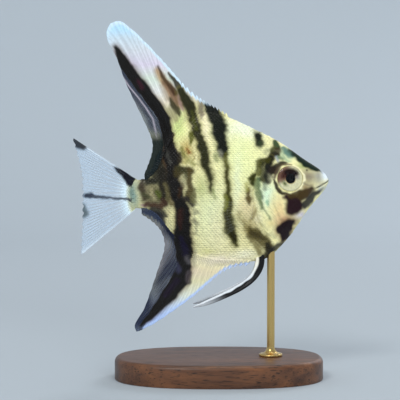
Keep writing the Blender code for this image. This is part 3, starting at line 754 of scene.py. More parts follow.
@dataclass(frozen=True)
class Pigmented:
    """A finish whose colour is laid on its points, pigment and any painted shade: wet skin, scale, fin or
    eye.
    """

    name: str
    roughness: float
    coat: float = 0.0
    subsurface: float = 0.0
    grain: float = 0.00006  # size of the bump's grain, in metres
    bump: float = 0.0
    mottle: float = 0.06  # how far the colour varies with the grain of the pigment cells
    see_through: bool = False
    specular: float = 0.5

    def material(self) -> Material:
        """Builds the material.

        The pigment is broken by noise at the size of pigment cells, about 0.15 mm, drawn at 0.4 mm so that it
        shows, which the roughness follows a little. The bump's grain is finer.

        Returns:
            The material.
        """
        cell, relief_height, depth = 0.0004, 0.00002, 0.0006  # metres
        blank = Blank(self.name)
        # the points' colour, painted shade of creases and fin membranes included
        pigment, where = blank.node("VertexColor", "Color", layer_name=COLOUR_NAME), blank.where
        cells = blank.node("TexNoise", "Fac", {"Vector": where, "Scale": 1 / cell, "Detail": 3.0})
        limits = {"From Min": 0.3, "From Max": 0.7, "To Min": 1 - self.mottle, "To Max": 1 + self.mottle}
        vary = blank.node("MapRange", "Result", {"Value": cells, **limits})
        inputs = {"Factor": 1.0, MIX_A: pigment, MIX_B: vary}
        rough = {"Value": cells, "To Min": self.roughness * 0.8, "To Max": self.roughness * 1.2}
        links = {
            "Base Color": blank.node("Mix", MIX_OUT, inputs, data_type="RGBA", blend_type="MULTIPLY"),
            "Roughness": blank.node("MapRange", "Result", rough),
            "Coat Weight": self.coat,
            "Coat Roughness": 0.12,
            "Specular IOR Level": self.specular,
            "Subsurface Weight": self.subsurface,
            "Subsurface Radius": (1.0, 0.8, 0.55),
            "Subsurface Scale": depth,
        }
        if self.bump:
            grain = blank.node("TexNoise", "Fac", {"Vector": where, "Scale": 1 / self.grain, "Detail": 2.0})
            relief = {"Height": grain, "Strength": self.bump, "Distance": relief_height}
            links["Normal"] = blank.node("Bump", "Normal", relief)
        if self.see_through:
            links["Alpha"] = pigment.node.outputs["Alpha"]
        return blank.shade(links)


@dataclass(frozen=True)
class Clear:
    """Clear cornea of cast resin: a smooth dark-based film that shows by its highlight alone."""

    name: str = "clear_cast_resin"
    alpha: float = 0.11

    def material(self) -> Material:
        """Builds the material."""
        gloss = {"Roughness": 0.04, "IOR": 1.55, "Coat Weight": 0.5, "Coat Roughness": 0.01}
        return Blank(self.name).shade({"Base Color": (0.01, 0.01, 0.012, 1), "Alpha": self.alpha, **gloss})


@dataclass(frozen=True)
class Walnut:
    """Dark walnut, planed and satin varnished: long grain bands with fine pores along X."""

    name: str = "satin_varnished_walnut"
    pale: str = "#73492c"
    dark: str = "#42281a"
    pore: str = "#1d110a"

    def material(self) -> Material:
        """Builds the material.

        Growth bands of about 1.5 mm, drawn out fifteen times along the board, stand over slow changes of
        tone. Pores are 0.15 mm wide and ten times as long.

        Returns:
            The material.
        """
        blank = Blank(self.name)
        where = blank.where
        lie = {"Vector": where, "Scale": (0.065, 1.0, 0.8), "Rotation": (0.4, 0, 0.04)}
        wander = {"Scale": 480.0, "Detail": 5.0, "Roughness": 0.62, "Distortion": 0.6}
        growth = blank.node("TexNoise", "Fac", {"Vector": blank.node("Mapping", "Vector", lie), **wander})
        bands = blank.node("ValToRGB", "Color", {"Fac": growth})
        for stop, at, colour in zip(bands.node.color_ramp.elements, (0.34, 0.66), (self.dark, self.pale)):
            stop.position, stop.color = at, (*linear(colour), 1)
        fine = blank.node("Mapping", "Vector", {"Vector": where, "Scale": (0.1, 1.0, 1.0)})
        pores = blank.node("TexNoise", "Fac", {"Vector": fine, "Scale": 3500.0, "Detail": 2.0})
        streak = blank.node("MapRange", "Result", {"Value": pores, "From Min": 0.56, "From Max": 0.7})
        stain = {"Factor": streak, MIX_A: bands, MIX_B: (*linear(self.pore), 1)}
        relief = {"Height": pores, "Strength": 0.25, "Distance": 0.00003}
        links = {
            "Base Color": blank.node("Mix", MIX_OUT, stain, data_type="RGBA"),
            "Roughness": blank.node("MapRange", "Result", {"Value": pores, "To Min": 0.36, "To Max": 0.55}),
            "Normal": blank.node("Bump", "Normal", relief, invert=True),
        }
        return blank.shade({**links, "Coat Weight": 0.15, "Coat Roughness": 0.3})


@dataclass(frozen=True)
class Brass:
    """Drawn and polished brass: warm yellow metal, a little uneven along its length."""

    name: str = "drawn_polished_brass"
    colour: str = "#e0bd78"

    def material(self) -> Material:
        """Builds the material. Draw marks run along Z: about 0.2 mm wide and forty times as long.

        Returns:
            The material.
        """
        blank = Blank(self.name)
        drawn = blank.node("Mapping", "Vector", {"Vector": blank.where, "Scale": (1.0, 1.0, 0.025)})
        marks = blank.node("TexNoise", "Fac", {"Vector": drawn, "Scale": 2500.0, "Detail": 2.0})
        rough = blank.node("MapRange", "Result", {"Value": marks, "To Min": 0.22, "To Max": 0.34})
        return blank.shade({"Base Color": (*linear(self.colour), 1), "Metallic": 1.0, "Roughness": rough})


@dataclass(frozen=True)
class Paper:
    """Matt background paper: one pale tone with a faint fibre."""

    name: str = "matt_background_paper"
    colour: str = "#b3bdc6"

    def material(self) -> Material:
        """Builds the material. The fibre is drawn at about 1 mm, so that it shows.

        Returns:
            The material.
        """
        blank = Blank(self.name)
        fibre = blank.node("TexNoise", "Fac", {"Vector": blank.where, "Scale": 900.0})
        tone = blank.node("MapRange", "Result", {"Value": fibre, "To Min": 0.985, "To Max": 1.015})
        inputs = {"Factor": 1.0, MIX_A: (*linear(self.colour), 1), MIX_B: tone}
        mixed = blank.node("Mix", MIX_OUT, inputs, data_type="RGBA", blend_type="MULTIPLY")
        return blank.shade({"Base Color": mixed, "Roughness": 0.9})


class Finishes:
    """Every finish of the model, made once."""

    def __init__(self) -> None:
        """Builds them."""
        skin = Pigmented("wet_fish_skin", 0.38, coat=0.16, subsurface=0.08, bump=0.25, specular=0.2)
        scale = Pigmented("wet_fish_scale", 0.38, coat=0.12, subsurface=0.04, bump=0.12, specular=0.18)
        fin = Pigmented("fin_membrane", 0.4, coat=0.1, bump=0.12, specular=0.2, see_through=True)
        iris = Pigmented("iris_foil", 0.4, mottle=0.1, grain=0.0001, bump=0.2, specular=0.12)
        self.skin, self.scale, self.fin, self.iris = (made.material() for made in (skin, scale, fin, iris))
        self.cornea, self.walnut, self.brass = Clear().material(), Walnut().material(), Brass().material()


# ---------------- eyes


@dataclass(frozen=True)
class Eye:
    """An eye: a cupped iris with a raised, domed pupil under a clear cornea."""

    y: float = 2.42
    radius: float = 2.7
    opening: float = 2.62
    pupil: float = 1.02
    brow: float = 1.45  # where the iris is darkest, as a turn from the snout
    bulge: float = 0.7  # height of the cornea's dome
    yaw: float = 8.0
    pitch: float = 6.0
    hub: float = 0.03  # radius of the innermost ring
    skirt: float = 0.1  # how far the ball goes on past the iris
    rear: float = -0.95  # height of the ball's flat back
    clear_wall: tuple[float, float] = (0.50, 0.42)  # height of the cornea's outer and inner foot
    rings: int = 44
    clear_rings: int = 22
    around: int = 96

    def frame(self, side: int) -> tuple[Array, Array, Array]:
        """The eye's own axes.

        Args:
            side: 1 for the left eye and -1 for the right one.

        Returns:
            Three unit vectors: out of the head, forward and up.
        """
        yaw, pitch = math.radians(self.yaw), math.radians(self.pitch)
        out = unit(np.array([math.sin(yaw), side * math.cos(yaw) * math.cos(pitch), math.sin(pitch)]))
        forward = unit(np.cross(np.array([0, 0, 1.0]), out) * -side)
        return out, forward, np.cross(forward, out) * side

    def points(self, side: int, radius: Array, turn: Array, height: Array) -> Array:
        """Points at a radius and turn about the eye's axis and a height over its middle."""
        out, forward, up = self.frame(side)
        flat = radius[..., None] * (np.cos(turn)[..., None] * forward + np.sin(turn)[..., None] * up)
        return np.array([EYE_X, side * self.y, EYE_Z]) + flat + height[..., None] * out

    def iris_height(self, radius: Array) -> Array:
        """The iris seen from its side: a rim, a shallow cup, a rise to the pupil and the pupil's dome.

        Args:
            radius: Distances from the eye's axis.

        Returns:
            The height at each.
        """
        cup = 0.62 - 0.10 * (radius / self.radius) ** 2
        rim = -0.9 * smooth_step(radius, self.radius - 0.45, self.radius + 0.15) ** 1.5
        swell = 0.10 * bump(radius - self.pupil - 0.12, 0.22)
        dome = np.sqrt(np.clip(1 - (radius / self.pupil) ** 2, 0, 1))
        return cup + rim + swell + 0.16 * dome - 0.05 * (radius < self.pupil)

    def iris_colour(self, radius: Array, turn: Array) -> Array:
        """Pigment of the ball: black pupil in a thin gold ring, cream foil below and red-brown above.

        Args:
            radius: The places' distance from the eye's axis.
            turn: 0 towards the snout and a quarter circle at the top.

        Returns:
            The linear colours, with alpha 1.
        """
        up, ahead = np.sin(turn), np.cos(turn)
        spoke = 0.5 + 0.5 * np.sin(turn * 37 + 2.0 * np.sin(turn * 7) + 2 * radius)
        near = fade(radius, self.pupil + 0.25, self.radius - 0.2)
        wide = fade(radius, self.pupil + 0.6, self.radius - 0.25)
        maroon = smooth_step(np.cos(turn - self.brow - 0.35), 0.05, 0.5)
        paint = layers(
            plain("#fffbd0", radius.shape),
            ("#cfc98c", 0.45 * spoke * bump(radius - 1.9, 0.45)),
            ("#7d6c4c", 0.85 * smooth_step(-ahead, 0.3, 0.9) * smooth_step(up, -0.6, 0.0)),
            ("#94898a", 0.85 * smooth_step(ahead, 0.5, 0.95) * smooth_step(up, -0.35, 0.2) * near),
            ("#8a6252", 0.9 * smooth_step(np.cos(turn - self.brow - 1.1), 0.35, 0.85)),
            ("#45211a", 0.97 * maroon * (0.25 + 0.75 * wide)),
            ("#170807", 0.97 * smooth_step(np.cos(turn - self.brow), 0.3, 0.8) * wide),
            ("#5b6a2c", 0.95 * bump(radius - 1.55, 0.4) * bump(turn - 3.85, 0.4)),
            ("#caa75a", 0.8 * bump(radius - self.pupil - 0.07, 0.06) * smooth_step(-up, -0.5, 0.5)),
            ("#8a7f6a", 0.6 * smooth_step(radius, self.radius - 0.2, self.radius)),
            ("#030304", fade(radius, self.pupil - 0.05, self.pupil + 0.03)),
        )
        return with_alpha(paint)

    def build(self, finishes: Finishes) -> None:
        """Makes both eyes: the ball with its iris and pupil, and the cornea over it.

        Args:
            finishes: Holds the iris's and the cornea's material.
        """
        for side, name in SIDES:
            radius = np.linspace(self.hub, self.radius + self.skirt, self.rings)
            radius, turn = crossed(radius, turns(self.around))
            iris = self.points(side, radius, turn, self.iris_height(radius))
            colour = self.iris_colour(radius, turn)
            places = self.unwrap(0.45 * radius / radius[-1, 0], turn)
            mesh = Mesh()
            front = mesh.add_grids(iris, colour, places, closed=True, flip=side > 0)[0]
            back = self.points(side, radius[-1:] * 0.9, turn[-1:], np.full((1, self.around), self.rear))
            rear = mesh.add_grids(back, colour[-1:], places[-1:])[0]
            mesh.bridge(*(np.r_[ring, ring[:1]] for ring in (front[-1], rear[0])), flip=side > 0)
            mesh.cap(front[0], side > 0)
            mesh.cap(rear[0], side < 0)
            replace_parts(mesh.build(f"eyeball_{name}", "eye", finishes.iris), f"eye_{name}")
            self.cornea(side, name, finishes)

    @staticmethod
    def unwrap(radius: Array, turn: Array) -> Array:
        """Map places round the map's middle."""
        return 0.5 + radius[..., None] * np.stack([np.cos(turn), np.sin(turn)], axis=-1)

    def cornea(self, side: int, name: str, finishes: Finishes) -> None:
        """Makes a clear shell over the iris: a shallow dome with a wall of 0.08 mm.

        Args:
            side: 1 for the left eye and -1 for the right one.
            name: The side's name.
            finishes: Holds the cornea's material.
        """
        radius = np.linspace(self.hub, self.radius - 0.12, self.clear_rings)
        radius, turn = crossed(radius, turns(self.around))
        dome = self.bulge * (1 - (radius / self.radius) ** 2)
        clear, places = np.ones((*radius.shape, 4)), self.unwrap(0.15 * radius, turn)
        mesh, rims = Mesh(), []
        for foot, flip in zip(self.clear_wall, (side < 0, side > 0)):
            shell = self.points(side, radius, turn, foot + dome)
            number = mesh.add_grids(shell, clear, places, closed=True, flip=flip)[0]
            mesh.cap(number[0], flip)
            rims.append(np.r_[number[-1], number[-1, :1]])
        mesh.bridge(*rims, flip=side < 0)
        mesh.build(f"cornea_{name}", "eye", finishes.cornea)


EYE = Eye()


# ---------------- the body


@dataclass
class Body:
    """The fish's form without its fins, and the skin that covers it."""

    back_line: Line = (
        (-0.8, 2.9), (2.1, 3.1), (4.0, 4.7), (5.6, 7.7), (7.5, 11.3), (10.1, 14.7), (14.0, 16.8),
        (19.0, 15.75), (25.4, 12.8), (30.3, 10.2), (35.2, 6.75), (38.4, 4.6), (39.8, 3.25),
    )  # fmt: skip
    belly_line: Line = (
        (-0.8, -3.1), (1.9, -3.45), (3.8, -4.3), (5.8, -6.4), (8.3, -9.6), (11.6, -12.5), (16.0, -13.95),
        (20.4, -14.2), (24.4, -14.15), (27.1, -13.45), (29.4, -11.6), (32.0, -8.6), (34.4, -5.1),
        (37.0, -1.65), (38.6, 0.15), (39.8, 1.85),
    )  # fmt: skip
    width_line: Line = (
        (-0.8, 0.7), (2.0, 0.95), (4.0, 1.25), (7.0, 1.9), (11.0, 2.65), (16.0, 3.2), (21.0, 3.5),
        (25.0, 3.45), (29.0, 3.15), (32.0, 2.85), (35.0, 2.3), (37.5, 1.6), (39.0, 1.1), (39.8, 0.65),
    )  # fmt: skip
    mouth_line: Line = ((36.9, 1.05), (38.4, 1.75), (39.9, 2.75))
    cheek_line: Line = ((28.4, 2.6, 0), (28.0, -2.0, 0), (29.6, -5.6, 0), (32.8, -6.6, 0))  # of no width
    nostril: tuple[float, float] = (35.15, 4.75)
    power: float = 2.0
    root: float = 0.68
    tail_x: float = -1.1
    tail_round: float = 0.3  # x where the tail stalk begins to close
    lip_x: float = 39.72
    snout_round: float = 0.75
    coat: float = 0.1  # depth that the scales take
    rings: int = 300
    around: int = 300
    gill_x: float = 24.2
    nape_x: float = 28.6
    throat_x: float = 31.6
    cover_low: float = -0.7
    cover_high: float = 0.44

    def __post_init__(self) -> None:
        """Works out the outline's curves once."""
        self.back, self.belly = profile(self.back_line), profile(self.belly_line)
        self.half_width, self.mouth = profile(self.width_line), profile(self.mouth_line)

    def middle(self, x: Array) -> Array:
        """Height of the body's middle at x."""
        return (self.back(x) + self.belly(x)) / 2

    def half_height(self, x: Array) -> Array:
        """Half the body's depth at x."""
        return (self.back(x) - self.belly(x)) / 2

    def share(self, x: Array, z: Array) -> Array:
        """How high z is at x: -1 at the belly's edge and 1 at the back's."""
        return (z - self.middle(x)) / self.half_height(x)

    def flank(self, x: Array, t: Array) -> Array:
        """Half-width at x and share t: the width there times (1 - |t|^power)^root."""
        return self.half_width(x) * (1 - np.minimum(np.abs(t), 1.0) ** self.power) ** self.root

    def gill_line(self, t: Array) -> Array:
        """x of the gill cover's rear edge at the share t."""
        end = np.where(t > 0, self.nape_x, self.throat_x)
        return self.gill_x + (end - self.gill_x) * np.abs(t) ** 1.8

    def relief(self, x: Array, z: Array) -> Array:
        """Height of the head's detail over the plain form, in millimetres.

        It adds, as bells and steps in the side view: the gill cover's raised plate with a groove behind it,
        the cheek's groove, the eye's socket and rim, the closed mouth between two lips, and the nostril.

        Args:
            x: The places' x.
            z: Their z.

        Returns:
            The height at each place.
        """
        t = self.share(x, z)
        rear = x - self.gill_line(t)
        span = smooth_step(t, self.cover_low - 0.1, self.cover_low + 0.08)
        span = span * fade(t, self.cover_high - 0.1, self.cover_high + 0.06)
        plate, groove = smooth_step(rear, -0.1, 0.1) * fade(rear, 2.4, 5.2), bump(rear + 0.28, 0.22)
        height = span * (0.17 * plate - 0.16 * groove)
        cheek, _ = path_distance(x, z, self.cheek_line)
        height = height - 0.07 * bump(cheek, 0.3) + 0.05 * bump(cheek - 0.6, 0.35)
        rim = np.hypot(x - EYE_X, z - EYE_Z) - EYE.opening
        height = height - 1.3 * fade(rim, -0.28, 0.02) + 0.13 * bump(rim - 0.22, 0.26)
        gap = z - self.mouth(x)
        lips = 0.13 * bump(np.abs(gap) - 0.42, 0.26) - 0.26 * bump(gap, 0.12)
        height = height + smooth_step(x, 36.6, 37.4) * lips
        nostril = np.hypot(x - self.nostril[0], (z - self.nostril[1]) * 1.15)
        return height - 0.24 * bump(nostril, 0.17) + 0.06 * bump(nostril - 0.34, 0.14)

    def surface(self, x: Array, angle: Array) -> Array:
        """Points of the flanks.

        The height's share is the angle's cosine. The head's relief moves the points sideways, and the form is
        drawn in by the coat's depth. The tail stalk and the snout are closed with elliptic ends.

        Args:
            x: Places along the fish.
            angle: 0 at the back, over the left flank to pi at the belly and by the right flank to 2 pi.

        Returns:
            The points.
        """
        t = np.cos(angle)
        side = np.where(np.sin(angle) >= 0, 1.0, -1.0)
        nose = np.clip((x - (self.lip_x - self.snout_round)) / self.snout_round, 0, 1)
        tail = np.clip((self.tail_round - x) / (self.tail_round - self.tail_x), 0, 1)
        shrink, squeeze = (np.sqrt(np.clip(1 - end**2, 0, 1)) for end in (nose, tail))
        height = np.maximum(self.half_height(x) - self.coat, 0.2)
        width = np.maximum(self.half_width(x) - self.coat, 0.1)
        centre = self.middle(x) + nose**2 * (self.mouth(x) - self.middle(x)) * 0.6
        y = side * width * np.sin(np.arccos(t)) ** (2 * self.root) * (shrink * squeeze)
        z = centre + height * t * shrink
        relief = self.relief(x, z) * smooth_step(np.abs(y), 0.0, 0.5)
        return np.stack([x, y + side * relief, z], axis=-1)

    def skin(self, marble: Marble, material: Material) -> None:
        """Makes one seamless skin over trunk, head, jaws, gill covers and tail stalk.

        Args:
            marble: The pigment.
            material: The skin's material.
        """
        even, snout = np.linspace(0, 1, self.rings), 13
        closer = 0.09 * np.sin(2 * math.pi * even) / (2 * math.pi)  # brings rings together at mid-length
        x = self.tail_x + (self.lip_x - self.tail_x) * (even + closer)
        x[-snout:] = self.lip_x - self.snout_round * (1 - np.sin(np.linspace(0, math.pi / 2, snout)))
        x, angle = crossed(x, turns(self.around))
        points = self.surface(x, angle)
        # the skin's colour carries the painted shade of its creases
        colours = with_alpha(self.pigment(marble, points))
        mesh = Mesh()
        number = mesh.add_grids(points, colours, self.unwrap(x, angle), closed=True)[0]
        half = self.around // 2
        for ring, flip in ((number[0], False), (number[-1], True)):
            mesh.bridge(ring[: half + 1], np.r_[ring[:1], ring[: half - 1 : -1]], flip)
        made = mesh.build("fish_skin", "fish_skin", material, merge=4e-7)
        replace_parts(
            made, "trunk", "head", "upper_jaw", "lower_jaw", "tail_stalk",
            "gill_cover_left", "gill_cover_right",
        )  # fmt: skip

    def pigment(self, marble: Marble, points: Array) -> Array:
        """The marble pattern at places on the body, with painted shade in its creases."""
        return marble.paint(points) * self.shade(points)[..., None]

    def shade(self, points: Array) -> Array:
        """Painted shade in the mouth's line, the nostril and the groove behind the gill cover.

        Args:
            points: Places on the skin.

        Returns:
            A darkening factor for each.
        """
        x, z = points[..., 0], points[..., 2]
        # painted shade: darker in the mouth's crease, the nostril's pit and the groove behind the gill cover
        mouth = smooth_step(x, 36.4, 37.6) * bump(z - self.mouth(x), 0.16)
        nostril = bump(np.hypot(x - self.nostril[0], z - self.nostril[1]), 0.22)
        t = self.share(x, z)
        groove = bump(x - self.gill_line(t) + 0.25, 0.2) * smooth_step(0.62 - np.abs(t + 0.12), 0, 0.2)
        return (1 - 0.8 * mouth) * (1 - 0.85 * nostril) * (1 - 0.35 * groove)

    def unwrap(self, x: Array, angle: Array) -> Array:
        """The skin's own map: x along u, and the angle along v."""
        along = (x - self.tail_x) / (self.lip_x - self.tail_x)
        return 0.01 + 0.98 * np.stack([along, angle / (2 * math.pi)], axis=-1)


@dataclass(frozen=True)
class Lie:
    """Where scales stand and how they lie: one row for each scale."""

    root: Array  # places
    along: Array  # unit directions to the free edge
    normal: Array  # unit directions outwards
    size: Array
    map_place: Array


class Coat(Enum):
    """The two fields of scales on a flank, each with its own lattice."""

    TRUNK = "trunk"
    HEAD = "head"


@dataclass(frozen=True)
class Scales:
    """Overlapping scales, in staggered rows whose tips point to the tail."""

    body: Body
    pitch: float = 0.74  # between scales of a row
    row: float = 0.40  # between rows, each set back by half the pitch
    length: float = 0.62  # half the plate's length
    width: float = 0.47  # half its width
    thick: float = 0.035
    rise: float = 0.05  # how far the free edge stands over the skin
    steps: int = 5
    head_size: float = 0.7
    patch: float = 0.003  # a plate's share of its map
    front_line: Line = (  # z and x of the line ahead of which the snout is bare
        (-3.6, 35.3), (-1.2, 35.0), (0.4, 33.6), (3.0, 31.6), (6.0, 31.3), (8.0, 30.6), (11.0, 29.8),
    )  # fmt: skip

    def field(self, coat: Coat) -> tuple[Array, Array, Array]:
        """Places for the scales of one field on a flank.

        Rows are level lines in the side view. Scales are full size on the trunk, smaller on the head, and
        smallest by the back and belly, on the tail stalk and where the bare snout begins.

        Args:
            coat: Which field.

        Returns:
            x, z and size of each.
        """
        body, on_head = self.body, coat is Coat.HEAD
        scale, low, high = (self.head_size, 23.4, 36.0) if on_head else (1.0, -0.45, 33.0)
        rows = np.arange(-16.0, 18.0, self.row * scale)
        x, z = crossed(np.arange(low, high, self.pitch * scale), rows)
        x = x + (np.arange(len(rows)) % 2) * self.pitch * scale / 2
        place = np.stack([x, z], axis=-1)
        x = x + 0.05 * scale * ripple(place, 2.1, 31)
        z = z + 0.04 * scale * ripple(place, 2.3, 32)
        t = body.share(x, z)
        rear = x - body.gill_line(t)
        by_cover = (t > body.cover_low - 0.06) & (t < body.cover_high + 0.04)
        keep = rear > np.where(by_cover, 0.4, 0.0) if on_head else rear < np.where(by_cover, -0.3, 0.1)
        ahead = np.interp(z, *zip(*self.front_line)) - x
        ring = np.hypot(x - EYE_X, z - EYE_Z) - EYE.opening
        size = scale * (1 - 0.22 * fade(x, 2.0, 7.0)) * (1 - 0.25 * smooth_step(np.abs(t), 0.82, 0.97))
        size = size * (0.45 + 0.55 * smooth_step(np.minimum(ahead, ring - 0.4), 0.0, 1.6))
        keep &= (np.abs(t) < 0.985) & (ahead > 0) & (ring > 0.62)
        return x[keep], z[keep], size[keep]

    def on_flank(self, coat: Coat, side: int) -> Lie:
        """How a field's scales lie on one flank: along the level lines of the skin, towards the tail.

        Args:
            coat: Which field.
            side: 1 for the left flank and -1 for the right one.

        Returns:
            The scales' places and directions.
        """
        x, z, size = self.field(coat)
        t = np.clip(self.body.share(x, z), -0.995, 0.995)
        angle = np.arccos(t) if side > 0 else 2 * math.pi - np.arccos(t)
        step, turn = 0.15, side * 0.02
        along = self.body.surface(x - step, angle) - self.body.surface(x + step, angle)
        across = self.body.surface(x, angle - turn) - self.body.surface(x, angle + turn)
        normal = unit(np.cross(along, across) * -side)
        return Lie(self.body.surface(x, angle), unit(along), normal, size, self.body.unwrap(x, angle))

    def plates(self, lie: Lie, paint: Callable[[Array], Array], seed: int, mesh: Mesh) -> None:
        """Adds closed plates to a mesh.

        Each plate is a square grid bent to a disc by x' = x sqrt(1 - y^2/2), y' = y sqrt(1 - x^2/2), then
        drawn out along the lie, arched across, and tilted so that its rear edge stands over the next scale.

        Args:
            lie: Where they stand.
            paint: Gives the colour at places: pigment, with its painted shade.
            seed: Chooses each plate's tint and lean.
            mesh: The mesh.
        """
        along, normal, root = (values[:, None, None] for values in (lie.along, lie.normal, lie.root))
        a, b = crossed(np.linspace(-1, 1, self.steps), np.linspace(-1, 1, self.steps - 1))
        flat_a, flat_b = a * np.sqrt(1 - b * b / 2), b * np.sqrt(1 - a * a / 2)
        height = self.rise * smooth_step(flat_a, -1.0, 0.9) - 0.03 - 0.035 * flat_b**2
        random = np.random.default_rng(seed)
        lean = random.normal(0, 0.006, len(lie.size))[:, None, None]
        size = lie.size[:, None, None]
        plate = (
            root
            + along * (flat_a * self.length * size)[..., None]
            + np.cross(normal, along) * (flat_b * self.width * size)[..., None]
            + normal * (height * size + lean)[..., None]
        )
        tint = random.normal(1.0, 0.035, len(lie.size))[:, None, None]
        rim = 1 - 0.16 * smooth_step(np.hypot(flat_a, flat_b), 0.7, 1.0) * (flat_a > -0.2)
        colours = with_alpha(np.clip(paint(plate) * (tint * rim)[..., None], 0, 1))
        places = lie.map_place[:, None, None] + self.patch / 2 * np.stack([flat_a, flat_b], axis=-1)
        top = mesh.add_grids(plate, colours, places)
        mesh.close_sheet(top, mesh.add_grids(plate - normal * self.thick, colours, places, flip=True))

    def build(self, marble: Marble, material: Material) -> None:
        """Makes the scales of both flanks.

        Args:
            marble: The pigment.
            material: The scales' material.
        """
        for coat in Coat:
            for side, name in SIDES:
                mesh = Mesh()
                lie = self.on_flank(coat, side)
                # the body's colour, with the painted shade of its creases
                self.plates(lie, lambda points: self.body.pigment(marble, points), 40 + side, mesh)
                mesh.build(f"scales_{coat.value}_{name}", "fish_skin", material)


# ---------------- fins


@dataclass(frozen=True)
class Rays:
    """How a fin's rays stand out of its membrane."""

    count: int
    spines: int = 0  # how many at the front are unbranched
    root_height: float = 0.2  # half the fin's thickness on a ray, at its root
    tip_height: float = 0.07
    film: float = 0.035  # half the membrane's thickness
    branch_at: float = 0.45
    spread: float = 0.24  # how far a branch leaves its ray's middle, in rays
    spine_wide: float = 0.22
    wide: float = 0.16  # a ray's width, in rays
    flesh: float = 0.55  # half the thickness of the fleshy base
    flesh_reach: float = 2.8  # how far the flesh goes out
    notch: float = 0.16  # how far the membrane draws back between ray ends
    spine_notch: float = 0.6

    def ridge(self, root_share: Array, out: Array) -> Array:
        """How much of a ray there is at a place, from 0 on the membrane to 1 on the ray's middle.

        A soft ray splits once at branch_at, and each half once more at the midpoint of what is left. Every
        branch is a bell across its width.

        Args:
            root_share: Share of the fin's root that the ray through this place grows from.
            out: Share of the ray's length.

        Returns:
            One value for each place.
        """
        turn = root_share * self.count
        off = turn - np.floor(turn) - 0.5
        spine = turn < self.spines
        first = self.spread * smooth_step(out, self.branch_at, self.branch_at + 0.4)
        second = 0.5 * self.spread * smooth_step(out, (1 + self.branch_at) / 2, 1.0)
        first, second = np.where(spine, 0, first), np.where(spine, 0, second)
        wide = np.where(spine, self.spine_wide, self.wide) * (1 - 0.45 * out * ~spine)
        return np.maximum.reduce([bump(off - a * first - b * second, wide) for a in (-1, 1) for b in (-1, 1)])

    def draw_back(self, root_share: Array, length: Array) -> Array:
        """The share of its length that a line between two rays stops short of the margin.

        Args:
            root_share: Share of the root for each line.
            length: The lines' lengths.

        Returns:
            One share for each line.
        """
        turn = root_share * self.count
        off = np.abs(turn - np.floor(turn) - 0.5) * 2
        depth = np.where(turn < self.spines, self.spine_notch, self.notch)
        return np.clip(depth * smooth_step(off, 0.1, 1.0) / np.maximum(length, 0.3), 0, 0.5)


@dataclass(frozen=True)
class Sheet:
    """A fin's middle surface as a grid: a row for each step out, a column for each place along the root."""

    points: Array
    root_share: Array  # share of the root for each column
    out: Array  # share of its ray for each point

    @property
    def beyond(self) -> Array:
        """Distance of each point from the root, along its column."""
        steps = np.linalg.norm(np.diff(self.points, axis=0), axis=-1)
        return np.concatenate([np.zeros((1, steps.shape[1])), np.cumsum(steps, axis=0)])

    def normal(self) -> Array:
        """Unit normals, to the left."""
        normal = unit(np.cross(np.gradient(self.points, axis=0), np.gradient(self.points, axis=1)))
        return normal * np.sign(normal[..., 1].mean())

    def unwrap(self, side: int) -> Array:
        """The fin's own map: its left side fills the left half and its right side the right half."""
        rows, columns = self.points.shape[:2]
        v, u = crossed(np.linspace(0.01, 0.99, rows), np.linspace(0.01, 0.49, columns))
        return np.stack([u + (0.0 if side > 0 else 0.5), v], axis=-1)

    @staticmethod
    def bent(flat: Array, root_share: Array, out: Array, y: Array) -> "Sheet":
        """A sheet from its side view and its sideways places."""
        return Sheet(np.stack([flat[..., 0], y + 0 * flat[..., 0], flat[..., 1]], axis=-1), root_share, out)


Paint = Callable[[Sheet, Array], Array]  # gives colour and alpha from a sheet and its ridges


@dataclass(frozen=True)
class Sail:
    """The side view of the dorsal or the anal fin: a root on the body and a margin, joined by rays."""

    name: str
    zone: Zone
    limits: tuple[float, float]  # x of the root's front and rear ends
    front: Line
    rear: Line
    reach: Line  # shares of the root and of the margin that one ray joins
    curl: float
    sway: float  # how far the tip leans to the left
    rays: Rays
    sink: float = 0.55  # how deep the root lies in the body
    columns: int = 420
    rows: int = 72

    def root(self, body: Body) -> Array:
        """The line of the root, inside the body's edge."""
        x = np.linspace(*self.limits, 200)
        edge = body.back(x) - self.sink if self.zone is Zone.DORSAL else body.belly(x) + self.sink
        return np.stack([x, edge], axis=-1)

    def sheet(self, body: Body) -> Sheet:
        """The fin's grid, which leans by sway times the square of the height's share of the greatest height.

        A ray near the front takes the shape of the front margin as far as its own end, moved to its own start
        by an offset that dies away along it, and a ray near the rear does the same with the rear margin. Rays
        between pass smoothly from the one to the other, and curl mixes that shape with a straight ray.
        Columns are spaced half evenly along the margin and half evenly along the root.

        Args:
            body: Gives the line of the root.

        Returns:
            The sheet.
        """
        front, rear = smooth_curve(self.front), smooth_curve(self.rear)
        tip = distance_along(front)[-1] / (distance_along(front)[-1] + distance_along(rear)[-1])
        roots, margins = zip(*self.reach)
        even = np.linspace(0, 1, self.columns)
        share = (even + np.interp(even, roots, margins)) / 2
        root_share = np.interp(share, margins, roots)
        starts = resample(self.root(body), root_share)
        front_share, rear_share = np.clip(share / tip, 0, 1), np.clip((1 - share) / (1 - tip), 0, 1)
        ends = np.where((share < tip)[:, None], resample(front, front_share), resample(rear, rear_share))
        length = np.linalg.norm(ends - starts, axis=1)
        out = np.linspace(0, 1, self.rows)[:, None] * (1 - self.rays.draw_back(root_share, length))[None]
        v = out[..., None]
        shapes = []
        for edge, reached in ((front, front_share), (rear, rear_share)):
            offset = (starts - edge[0]) * (1 - v) + (ends - resample(edge, reached)) * v
            shapes.append(resample(edge, out * reached) + offset)
        turn = smooth_step(share, 0.1, 0.9)[:, None]
        curled = shapes[0] * (1 - turn) + shapes[1] * turn
        flat = self.curl * curled + (1 - self.curl) * (starts + (ends - starts) * v)
        height = np.abs(flat[..., 1])
        return Sheet.bent(flat, root_share, out, self.sway * (height / height.max()) ** 2)


